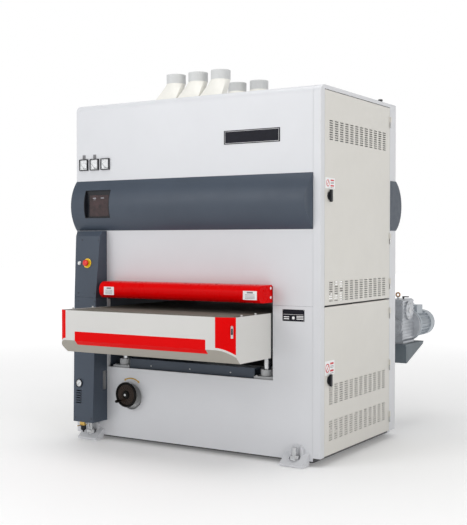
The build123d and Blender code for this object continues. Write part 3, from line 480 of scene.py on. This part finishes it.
def make_world():
    """White at the horizon, and above it brighter behind the machine than in front of it."""
    world = bpy.data.worlds.new("studio")
    world.use_nodes = True
    tree = world.node_tree
    coord = tree.nodes.new("ShaderNodeTexCoord")
    toward = tree.nodes.new("ShaderNodeVectorMath")
    toward.operation = "DOT_PRODUCT"
    toward.inputs[1].default_value = AWAY
    tree.links.new(coord.outputs["Generated"], toward.inputs[0])
    fade = tree.nodes.new("ShaderNodeValToRGB")
    fade.color_ramp.elements[0].position = 0.35
    fade.color_ramp.elements[0].color = (0.4, 0.4, 0.4, 1)
    fade.color_ramp.elements[1].position = 0.8
    fade.color_ramp.elements[1].color = (1, 1, 1, 1)
    tree.links.new(toward.outputs["Value"], fade.inputs["Fac"])
    split = tree.nodes.new("ShaderNodeSeparateXYZ")
    tree.links.new(coord.outputs["Generated"], split.inputs[0])
    height = tree.nodes.new("ShaderNodeMapRange")
    height.inputs["From Min"].default_value = 0.13
    height.inputs["From Max"].default_value = 0.22
    tree.links.new(split.outputs["Z"], height.inputs["Value"])
    sky = tree.nodes.new("ShaderNodeMixRGB")
    sky.inputs["Color1"].default_value = (1, 1, 1, 1)
    tree.links.new(height.outputs["Result"], sky.inputs["Fac"])
    tree.links.new(fade.outputs["Color"], sky.inputs["Color2"])
    tree.links.new(sky.outputs["Color"], tree.nodes["Background"].inputs["Color"])
    bpy.context.scene.world = world


def make_lights():
    """Three soft lamps: from the front left, from the right and from above."""
    make_light("key", (-2.6, -5.8, 3.4), (0, 0, 1.1), 3.0, 84, (0.98, 0.985, 1.0))
    make_light("fill", (5.8, -3.2, 2.0), (0.4, 0, 0.9), 2.6, 58, (1.0, 0.97, 0.93))
    make_light("over", (0.3, -1.0, 5.2), (0, 0, 1.0), 3.2, 74, (1.0, 1.0, 1.0))


def make_floor():
    """A wide pale floor that glows a little more the farther it is from the machine."""
    bm = bmesh.new()
    half, depth = 30, -0.0005
    outline = ((-half, -half), (half, -half), (half, half), (-half, half))
    bm.faces.new([bm.verts.new((x, y, depth)) for x, y in outline])
    mesh = bpy.data.meshes.new("floor")
    bm.to_mesh(mesh)
    bm.free()
    floor = bpy.data.objects.new("floor", mesh)
    bpy.context.scene.collection.objects.link(floor)
    finish = material(
        "floor_look", (0.85, 0.85, 0.85), 0.8, mottle=0.01, patch=1.2, grain=0.02, glow=0.3)
    tree = finish.node_tree
    coord = tree.nodes["Texture Coordinate"]
    shrunk = linked(tree, "ShaderNodeMapping", Scale=(0.12, 0.12, 0.12))
    distance = tree.nodes.new("ShaderNodeTexGradient")
    distance.gradient_type = "SPHERICAL"
    rise = tree.nodes.new("ShaderNodeMapRange")
    rise.inputs["To Min"].default_value = 0.75
    rise.inputs["To Max"].default_value = 0.12
    tree.links.new(coord.outputs["Object"], shrunk.inputs["Vector"])
    tree.links.new(shrunk.outputs["Vector"], distance.inputs["Vector"])
    tree.links.new(distance.outputs["Fac"], rise.inputs["Value"])
    shader = tree.nodes["Principled BSDF"]
    tree.links.new(rise.outputs["Result"], shader.inputs["Emission Strength"])
    mesh.materials.append(finish)


# ------------------------------------------------------------------ front of the cabinet
def make_badge():
    """Blank black badge with a thin bright border, high on the front."""
    centre = facing((BADGE_X, FRONT, BADGE_Z), FRONTWARD)
    plate("badge_plate", centre, *BADGE_SIZE, 1.6, "ink", 2.0)
    bm = bmesh.new()
    border = [(0, 34, 360, 1.6), (0, -34, 360, 1.6), (-179, 0, 1.6, 69), (179, 0, 1.6, 69)]
    for x, y, w, h in border:
        add_prism(bm, rounded(w, h, 0.4, 1, (x, y)), 1.9, centre)
    piece("badge_border", bm, "white")


def make_data_plate():
    """Blank data plate right of the opening: black, with plain pale cells."""
    centre = facing((DATA_PLATE_X, FRONT, DATA_PLATE_Z), FRONTWARD)
    surface = centre @ Matrix.Translation((0, 0, 1.2))
    plate("data_plate", centre, *DATA_PLATE_SIZE, 1.2, "ink", 1.5)
    rows = [(-44, -9, 34, 5), (-44, -20, 34, 5), (0, -14, 16, 16)]
    rows += [(42, y, 44, 4) for y in (-4, -12, -20)]
    rows += [(0, 5, 130, 1.4)]
    bars("data_plate_cells", surface, rows, "white")
    pins = [surface @ Matrix.Translation((x, y, 0)) for x in (-65, 65) for y in (-29, 29)]
    screws("data_plate_pins", pins, 1.8)


def make_meters():
    """Dials with ticks for the three ammeters, and the small terminals above two of them."""
    low, high = extent("ammeter_cases")
    width, drop = 67, 20  # one meter's width, and how far its pivot is below its middle
    across = [low.x + width / 2 + k * (high.x - low.x - width) / 2 for k in range(3)]
    height = (low.z + high.z) / 2
    faces, ticks = bmesh.new(), bmesh.new()
    for x in across:
        flat = facing((x, FRONT - 5, height), FRONTWARD)
        add_prism(faces, rounded(56.4, 61.4, 1.0, 2), 0.4, flat)
        for k in range(11):
            lean = math.radians(-45 + 9 * k)
            long = 7 if k % 5 == 0 else 4
            radius = 35 - long / 2
            middle = (radius * math.sin(lean), radius * math.cos(lean) - drop, 0.4)
            tick = flat @ Matrix.Translation(middle) @ Matrix.Rotation(-lean, 4, "Z")
            add_prism(ticks, rounded(0.9, long, 0.2, 1), 0.15, tick)
        add_prism(ticks, rounded(24, 4, 0.8, 2, (9, -24)), 0.5, flat)
        add_turned(ticks, [(3.4, 0.4), (3.4, 1.2), (0, 1.2)],
                   flat @ Matrix.Translation((0, -drop, 0)), 20)
    piece("ammeter_dials", faces, "white")
    piece("ammeter_scales", ticks, "ink")
    bm = bmesh.new()
    for x in across[:2]:
        base = facing((x - 1, FRONT, high.z + 15), FRONTWARD)
        add_prism(bm, rounded(24, 26, 2, 3), 1.2, base)
        for dx in (-6, 6):
            for dy in (-7, 0, 7):
                add_turned(bm, [(2.2, 1.2), (2.2, 2.6), (0, 2.9)],
                           base @ Matrix.Translation((dx, dy, 0)), 12)
    piece("meter_labels", bm, "grey_ink", bevel=0.3)
    places = [facing((x + dx, FRONT - 12, height - 31.5), FRONTWARD)
              for x in across for dx in (-29, 29)]
    screws("meter_screws", places, 1.9)


def make_screen():
    """The dark display behind the bezel, with a few faint glowing bars on it that are painted
    highlights.
    """
    low, high = extent("touch_screen")
    x, z = (low.x + high.x) / 2, (low.z + high.z) / 2 - 9.5
    flat = facing((x, FRONT - 31, z), FRONTWARD)
    plate("screen_display", flat, 155, 134, 0.4, "screen", 2.0)
    # pale glowing bars near the top of the screen: painted highlights
    rows = [(-36, 48, 26, 5), (28, 48, 26, 5), (-36, 38, 18, 2)]
    bars("screen_painted_highlights", facing((x, FRONT - 31.4, z), FRONTWARD), rows, "glow", 0.15)


def make_handwheel():
    """Dished black wheel with a ringed face, a steel nut and a turned grip."""
    low, high = extent("handwheel")
    x, z = (low.x + high.x) / 2, (low.z + high.z) / 2
    front = FRONT - 60
    place = facing((x, front, z), FRONTWARD)
    rim = [(0, 3), (7, 3), (11, 1.5), (19, 1), (22, -1), (23, -7.5), (28, -8.5), (64, -8.5)]
    rim += [(66, -6), (67, -1.5), (70, 0), (74, -0.4), (77, -3), (78, -8), (77.4, -14)]
    rim += [(74, -19), (68, -20), (30, -20), (22, -24), (22, -44), (10, -44), (10, -100)]
    bm = bmesh.new()
    add_turned(bm, rim, place, 72)
    piece("handwheel_rim", bm, "wheel", "handwheel", replaces=("handwheel",), sharp=50)
    bm = bmesh.new()
    for r in (29, 36, 43, 50, 57):
        ring = [(r, -9), (r + 1, -6.9), (r + 2.6, -6.9), (r + 3.6, -9)]
        add_ring(bm, ring, place, 56)
    piece("handwheel_rings", bm, "wheel_ring", "handwheel", sharp=50)
    bm = bmesh.new()
    grip = facing((x - 38, front, z - 38), FRONTWARD)
    profile = [(4, -6), (4, 8), (7, 9), (9.4, 14), (9, 24), (10, 36), (8.6, 43), (4, 46)]
    profile += [(0, 46)]
    add_turned(bm, profile, grip, 28)
    piece("handwheel_grip", bm, "wheel", "handwheel")
    bm = bmesh.new()
    sixths = [math.pi / 3 * k for k in range(6)]
    hexagon = [(8 * math.cos(a), 8 * math.sin(a)) for a in sixths]
    add_prism(bm, hexagon, 2.4, place @ Matrix.Translation((0, 0, 2.8)))
    piece("handwheel_nut", bm, "steel", "handwheel", bevel=0.6)


def make_turning_arrow():
    """Yellow arc with a point at each end, on the front above the handwheel."""
    low, high = extent("handwheel")
    x, z = (low.x + high.x) / 2, (low.z + high.z) / 2
    bm = bmesh.new()
    wide, narrow, steps = 100, 92, 22
    first, sweep, point = 55, 62, 8  # degrees
    middle_radius, half_point = 96, 9
    outline = []
    for radius, order in ((wide, range(steps + 1)), (narrow, range(steps, -1, -1))):
        for k in order:
            a = math.radians(first + sweep * k / steps)
            outline.append((radius * math.cos(a), radius * math.sin(a)))
    arc = facing((x, FRONT, z), FRONTWARD)
    for k in range(steps):
        quad = (outline[k], outline[k + 1], outline[-2 - k], outline[-1 - k])
        add_prism(bm, quad, 0.4, arc)
    for a, way in ((first, -1), (first + sweep, 1)):
        lean, tip = math.radians(a), math.radians(a + way * point)
        radii = (middle_radius - half_point, middle_radius + half_point)
        ends = [(r * math.cos(lean), r * math.sin(lean)) for r in radii]
        head = (middle_radius * math.cos(tip), middle_radius * math.sin(tip))
        add_prism(bm, [head, *ends], 0.4, arc)
    bmesh.ops.remove_doubles(bm, verts=bm.verts, dist=1e-6)
    piece("wheel_arrow_decal", bm, "decal_yellow")


# ------------------------------------------------------------------ control column
def column_place(x, z):
    """A place on the column's leaning front at that height."""
    if z > COLUMN_SPLIT:
        base, start = COLUMN_SPLIT, SPLIT_DEPTH
        rise, run = COLUMN_SHOULDER - COLUMN_SPLIT, SPLIT_DEPTH - SHOULDER_DEPTH
    else:
        base, start = COLUMN_FOOT, FOOT_DEPTH
        rise, run = COLUMN_SPLIT - COLUMN_FOOT, FOOT_DEPTH - SPLIT_DEPTH
    depth, lean = start - (z - base) * run / rise, math.atan2(run, rise)
    out = (0, -math.cos(lean), math.sin(lean))
    return facing((x, FRONT - depth, z), out)


def make_controls():
    """Mushroom stop button on a yellow ring, and the start button on a bright one."""
    stop, start = column_place(STOP_X, BUTTON_Z), column_place(START_X, BUTTON_Z)
    bm = bmesh.new()
    add_ring(bm, [(10.6, 0), (29, 0), (30, 1), (30, 3.6), (28.6, 5), (13, 5), (10.6, 4)], stop, 48)
    piece("stop_ring", bm, "yellow", replaces=("button_rings",))
    bm = bmesh.new()
    add_ring(bm, [(7.6, 0), (14, 0), (14, 4), (12.6, 6), (8.6, 6), (7.6, 5)], start, 40)
    piece("start_ring", bm, "steel")
    bm = bmesh.new()
    profile = [(10.2, -9), (10.2, 11), (13, 12), (18.6, 15), (20, 18), (20, 22), (18.8, 25)]
    profile += [(15, 27.2), (8, 28.0), (0, 28.0)]
    add_turned(bm, profile, stop, 56)
    piece("stop_mushroom", bm, "button_red", "e_stop_button", replaces=("e_stop_button",))
    bm = bmesh.new()
    add_turned(bm, [(7.3, -9), (7.3, 8.8), (6.4, 10), (0, 9.2)], start, 40)
    piece("start_cap", bm, "button_white", "start_button", replaces=("start_button",))


def make_gauge():
    """Bezel, dial and scale of the pressure gauge, and the screws of the column."""
    gauge = column_place(GAUGE_X, GAUGE_Z)
    bm = bmesh.new()
    add_ring(bm, [(21.8, 1.9), (25, 1.9), (25, 7), (24, 9), (22.6, 9), (21.8, 8)], gauge, 56)
    piece("gauge_bezel", bm, "black")
    bm = bmesh.new()
    add_turned(bm, [(21.6, 2.0), (21.6, 2.3), (0, 2.3)], gauge, 48)
    piece("gauge_dial", bm, "white")
    bm = bmesh.new()
    for k in range(11):
        lean = math.radians(-135 + 27 * k)
        long = 5 if k % 5 == 0 else 3
        spot = Matrix.Rotation(-lean, 4, "Z") @ Matrix.Translation((0, 19.5 - long / 2, 2.3))
        add_prism(bm, rounded(0.9, long, 0.2, 1), 0.2, gauge @ spot)
    piece("gauge_scale", bm, "ink")

    heights = ((930, 1262), (150, 880))
    places = [column_place(x, z) for pair in heights for x in (-772, -642) for z in pair]
    screws("column_screws", places, 4.2, "black_steel")


def make_filter():
    """Air filter under the column: brass body, dark bowl and a push-in fitting."""
    low, high = extent("filter_regulator")
    x, y = low.x + 19, (low.y + high.y) / 2
    bm = bmesh.new()
    body = level(x, y, low.z + 44)
    add_prism(bm, rounded(38, 32, 5, 4), 28.5, body)
    add_turned(bm, [(3, 0), (3, 30.5), (0, 31)],
               facing((x - 12, y - 14, low.z + 44), FRONTWARD), 16)
    piece("filter_head", bm, "brass", bevel=1.2, replaces=("filter_regulator",))
    bm = bmesh.new()
    bowl = level(x, y, low.z)
    profile = [(0, 0), (4.5, 0), (5, 2), (5, 9), (9, 11), (15, 15), (17, 20), (17, 40), (15, 44)]
    add_turned(bm, profile, bowl, 36)
    piece("filter_bowl", bm, "black")
    bm = bmesh.new()
    elbow = facing((x + 19, y, high.z - 15), RIGHTWARD)
    profile = [(6, 0), (7, 1), (7, 6), (5.4, 7), (5.4, 11), (6.6, 12), (6.6, 14.6), (0, 15)]
    add_turned(bm, profile, elbow, 24)
    piece("filter_elbow", bm, "steel")


# ------------------------------------------------------------------ guard and table
def make_guard_trim():
    """Plain white labels, bars and bolts on the red guard."""
    low, high = extent("infeed_guard")
    for name, x, width in (("left", -493, 78), ("right", 510.5, 90)):
        label = facing((x, low.y, (low.z + high.z) / 2 - 5), FRONTWARD)
        plate(f"guard_label_{name}", label, width, 50, 0.5, "white", 1.5)
        rows = [(0, 16, width * 0.45, 9)] + [(0, 4 - 7 * k, width * 0.7, 2.4) for k in range(4)]
        bars(f"guard_label_{name}_bars", label @ Matrix.Translation((0, 0, 0.5)), rows, "grey_ink")
    bolt_heights = (936, 989)
    places = [facing((high.x, FRONT - 15, z), RIGHTWARD) for z in bolt_heights]
    places += [facing((low.x, FRONT - 15, z), LEFTWARD) for z in bolt_heights]
    screws("guard_bolts", places, 8.0, "white", height=3.0)
    places = [facing((high.x, low.y + 60 + dy, 957 + dz), RIGHTWARD)
              for dy, dz in ((0, 22), (0, -22), (24, 0))]
    screws("guard_rivets", places, 5.0, "red", height=2.0)


def make_table_trim():
    """Red stripe painted along the apron, the toggle latch on its corner and the stud caps."""
    low, high = extent("table_cover")
    stripe = (("x", "GREATER_THAN", STRIPE_X[0] * MM), ("x", "LESS_THAN", STRIPE_X[1] * MM),
              ("y", "LESS_THAN", (low.y + STRIPE_UNDER) * MM), ("ny", "LESS_THAN", -0.3),
              ("z", "LESS_THAN", STRIPE_TOP * MM))
    masked(LOOKS["apron"][1], stripe, RED)

    corner_radius, lean, height = 180.3, math.radians(31), 778
    corner_start = high.x - 112
    spot = (corner_start + corner_radius * math.sin(lean),
            low.y + corner_radius * (1 - math.cos(lean)), height)
    latch = facing(spot, (math.sin(lean), -math.cos(lean), 0))
    bm = bmesh.new()
    add_prism(bm, rounded(13, 62, 3, 4, (0, -14)), 2.0, latch)
    for y in (-36, 10):
        pin = latch @ Matrix.Translation((0, y, 0))
        add_turned(bm, [(2.4, 2.0), (2.4, 3.6), (0, 4)], pin, 16)
    loop = [(-4.5, 22), (-4.5, -20), (4.5, -20), (4.5, 22)]
    for (ax, ay), (bx, by) in zip(loop, loop[1:] + loop[:1]):
        length = math.hypot(bx - ax, by - ay)
        mid = Matrix.Translation(((ax + bx) / 2, (ay + by) / 2, 6))
        turn = Matrix.Rotation(math.atan2(by - ay, bx - ax), 4, "Z")
        add_prism(bm, rounded(length + 2.4, 2.4, 1.0, 2), 2.4, latch @ mid @ turn)
    piece("toggle_latch_base", bm, "steel", "table", bevel=0.4)
    bm = bmesh.new()
    add_prism(bm, rounded(10, 34, 4, 4, (0, -8)), 7.0, latch @ Matrix.Translation((0, 0, 2)))
    piece("toggle_latch_lever", bm, "black", "table", bevel=1.2)

    studs = ((low.x + 25, -308), (low.x + 53, -158), (high.x - 10, -308), (high.x - 10, -158))
    places = [level(x, FRONT + dy, high.z - 3.4) for x, dy in studs]
    screws("apron_stud_caps", places, 5.4, "white", "table", height=3.4)


def make_jack_details():
    """Bolts on the four jack flanges and on the front chain channel."""
    low, high = extent("jack_bases")
    centres = [(x, y) for x in (low.x + 62, high.x - 62) for y in (low.y + 50, high.y - 50)]
    corners = [(dx, dy) for dx in (-50, 50) for dy in (-38, 38)]
    places = [level(x + dx, y + dy, low.z + 14) for x, y in centres for dx, dy in corners]
    screws("jack_flange_bolts", places, 7, "steel", height=6)
    low, high = extent("chain_channels")
    places = [facing((low.x + t * (high.x - low.x), low.y, low.z + 22), FRONTWARD)
              for t in (0.18, 0.5, 0.82)]
    screws("channel_bolts", places, 5, "steel", height=3)


# ------------------------------------------------------------------ doors and side covers
def louvre_hoods(node, name, body, side):
    """Pressed hoods over a side panel's slots: each a bent lip above its slot."""
    low, high = extent(node)
    face = RIGHT if side > 0 else LEFT
    rows = [z + 3 + row * LOUVRE_PITCH[1]
            for z in LOUVRE_ROWS if low.z < z < high.z for row in range(9)]
    starts = [FRONT + LOUVRE_START + column * LOUVRE_PITCH[0] for column in range(12)]
    section = [(0, 9.2), (1.0, 8.8), (2.2, 7.2), (2.8, 4.4), (2.3, 4.2), (1.6, 6.6)]
    section += [(0.5, 7.8), (-1.5, 8.0)]
    stations = ((-1, 0.1), (3, 1.0), (42, 1.0), (46, 0.1))
    bm = bmesh.new()
    for y0 in starts:
        for z in rows:
            ends = []
            for along, taper in stations:
                outline = [(out if out < 0 else out * taper, up) for out, up in section]
                ends.append([bm.verts.new(Vector((face + side * out, y0 + along, z + up)) * MM)
                             for out, up in outline])
            for a, b in zip(ends, ends[1:]):
                for k in range(len(section)):
                    n = (k + 1) % len(section)
                    bm.faces.new((a[k], a[n], b[n], b[k]))
            bm.faces.new(ends[0])
            bm.faces.new(ends[-1])
    piece(name, bm, "warm", body, sharp=40)


def make_door_label(name, body, z, height, width):
    """White label with a red prohibition ring and plain bars."""
    label = facing((RIGHT, FRONT + 55 + width / 2, z), RIGHTWARD)
    surface = label @ Matrix.Translation((0, 0, 0.5))
    right = width * 0.22
    plate(f"{name}_label", label, width, height, 0.5, "white", 4, body)
    bm = bmesh.new()
    sign = label @ Matrix.Translation((-width * 0.24, 0, 0.5))
    r = height * 0.32
    add_ring(bm, [(r * 0.78, 0), (r, 0), (r, 0.3), (r * 0.78, 0.3)], sign, 36)
    stroke = sign @ Matrix.Rotation(math.pi / 4, 4, "Z")
    add_prism(bm, rounded(r * 1.6, r * 0.2, 0.6, 2), 0.35, stroke)
    piece(f"{name}_label_ring", bm, "red_ink", body)
    rows = [(right, height * t, width * 0.36, height * 0.13) for t in (0.28, -0.22)]
    bars(f"{name}_label_heads", surface, rows, "red_ink", body=body)
    rows = [(right, height * t, width * 0.34, height * 0.045) for t in (0.1, 0.0, -0.4)]
    bars(f"{name}_label_lines", surface, rows, "grey_ink", body=body)


def make_sides():
    """Hoods, labels and screws of the doors and of the bolted covers on the left."""
    louvre_hoods("upper_door", "upper_door_louvres", "upper_door", 1)
    louvre_hoods("lower_door", "lower_door_louvres", "lower_door", 1)
    louvre_hoods("left_side_covers", "left_cover_louvres", "frame", -1)
    make_door_label("upper_door", "upper_door", 1579.5, 61, 120)
    make_door_label("lower_door", "lower_door", 544, 80, 120)
    low, high = extent("left_side_covers")
    heights = (low.z + 14, 300, 590, 872, 912, 1200, 1500, 1800, high.z - 14)
    places = [facing((LEFT, y, z), LEFTWARD) for y in (low.y + 9, high.y - 9) for z in heights]
    screws("left_cover_screws", places, 5.5, height=3)
    for body, z in (("upper_door_latch", 1509), ("lower_door_latch", 475)):
        hub = facing((RIGHT, FRONT + 103, z), RIGHTWARD)
        bm = bmesh.new()
        add_ring(bm, [(21.2, 0.6), (24, 0.6), (24, 2.0), (22.6, 3.4), (21.2, 3.4)], hub, 48)
        piece(f"{body}_collar", bm, "black_steel", body.replace("_latch", ""))


# ------------------------------------------------------------------ roof
def make_roof_details():
    """Sleeves and foot flanges of the dust outlets, a lifting plug and the roof's screws."""
    low, high = extent("dust_outlets")
    sleeves, seams = bmesh.new(), bmesh.new()
    columns = [low.x + 80 + k * (high.x - low.x - 160) / 2 for k in range(3)]
    sleeve = [(59, 1), (60.5, 1), (60.5, 46), (61.1, 48), (61.1, 51), (60.5, 53), (60.5, 57.6)]
    sleeve += [(59.4, 58), (57.6, 57.8), (57.6, 30), (58.2, 30), (58.2, 2)]
    outer, inner = rounded(176, 76, 3, 3), rounded(158, 58, 2, 3)
    thick = 1.6
    feet = [(x, MIDDLE + y - OUTLET_LEAN) for y in OUTLET_Y for x in columns]
    for x, y in feet:
        add_ring(sleeves, sleeve, level(x, y + OUTLET_LEAN, high.z - 58), 64)
        for k in range(len(outer)):
            n = (k + 1) % len(outer)
            quad = (outer[k], outer[n], inner[n], inner[k])
            add_prism(seams, quad, thick, level(x, y, TOP))
    bmesh.ops.remove_doubles(seams, verts=seams.verts, dist=1e-6)
    piece("outlet_sleeves", sleeves, "spigot")
    piece("outlet_flanges", seams, "hood")
    corners = [(dx, dy) for dx in (-78, 78) for dy in (-34, 34)]
    places = [level(x + dx, y + dy, TOP + thick) for x, y in feet for dx, dy in corners]
    screws("outlet_flange_screws", places, 3.0)
    bm = bmesh.new()
    profile = [(17, 0), (17, 2), (12, 3), (12, 8), (15, 10), (15, 15), (11, 18), (0, 19)]
    add_turned(bm, profile, level(RIGHT - 20, MIDDLE + 330, TOP), 32)
    piece("roof_plug", bm, "black_steel")
    places = [level(x, MIDDLE + y, TOP) for x in (-855, 855) for y in (-440, -150, 150, 440)]
    screws("roof_screws", places, 5.5, height=3)


# ------------------------------------------------------------------ back and feed drive
def make_back_details():
    """Screws down both edges of the rear panels."""
    low, high = extent("rear_panels")
    heights = (80, 330, 600, 880, 1040, 1280, 1680, 1900, high.z - 20)
    places = [facing((x, REAR, z), REARWARD) for x in (low.x + 14, high.x - 14) for z in heights]
    screws("rear_panel_screws", places, 5.5, height=3)


def make_drive_details():
    """Bolts, vent plug, lifting eye and terminal lid of the feed drive."""
    low, high = extent("feed_gearbox")
    motor_low, motor_high = extent("feed_motor")
    x = (motor_low.x + motor_high.x) / 2
    places = []
    for k in range(8):
        a = math.pi * (k + 0.5) / 4
        spot = (x + 92 * math.cos(a), motor_low.y + 18, MOTOR_AXIS_Z + 92 * math.sin(a))
        places.append(facing(spot, REARWARD))
    for dx, dz in ((-50, -8), (50, -8), (-50, 150), (50, 150)):
        places.append(facing((x + dx, low.y + 17, MOTOR_AXIS_Z + dz), FRONTWARD))
    for k in range(6):
        a = math.pi * k / 3
        spot = (high.x - 35, MIDDLE + 815 + 50 * math.cos(a), 793 + 50 * math.sin(a))
        places.append(facing(spot, RIGHTWARD))
    screws("gearbox_bolts", places, 6.5, "steel", "table", height=5)
    bm = bmesh.new()
    profile = [(7, 0), (7, 3), (5, 5), (5, 12), (9, 13), (9, 17), (0, 18)]
    plug = level(x + 30, MIDDLE + 800, 866)
    add_turned(bm, profile, plug, 24)
    add_prism(bm, rounded(46, 9, 4, 4, (16, 0)), 7, plug @ Matrix.Translation((0, 0, 15)))
    piece("vent_plug", bm, "black", "table", bevel=0.6)
    bm = bmesh.new()
    add_eye(bm, 13, 5.2, facing((x, MIDDLE + 780, 898), REARWARD))
    piece("eye_bolt", bm, "bronze", "table", sharp=80)
    bm = bmesh.new()
    add_prism(bm, rounded(100, 101, 6, 4), 4.6, level(x, motor_low.y + 112.5, 813))
    piece("terminal_lid", bm, "black_steel", "table", bevel=0.8)


make_camera()
make_world()
make_lights()
make_floor()
bpy.context.scene.view_settings.view_transform = "Standard"
make_badge()
make_data_plate()
make_meters()
make_screen()
make_handwheel()
make_turning_arrow()
make_controls()
make_gauge()
make_filter()
make_guard_trim()
make_table_trim()
make_jack_details()
make_sides()
make_roof_details()
make_back_details()
make_drive_details()
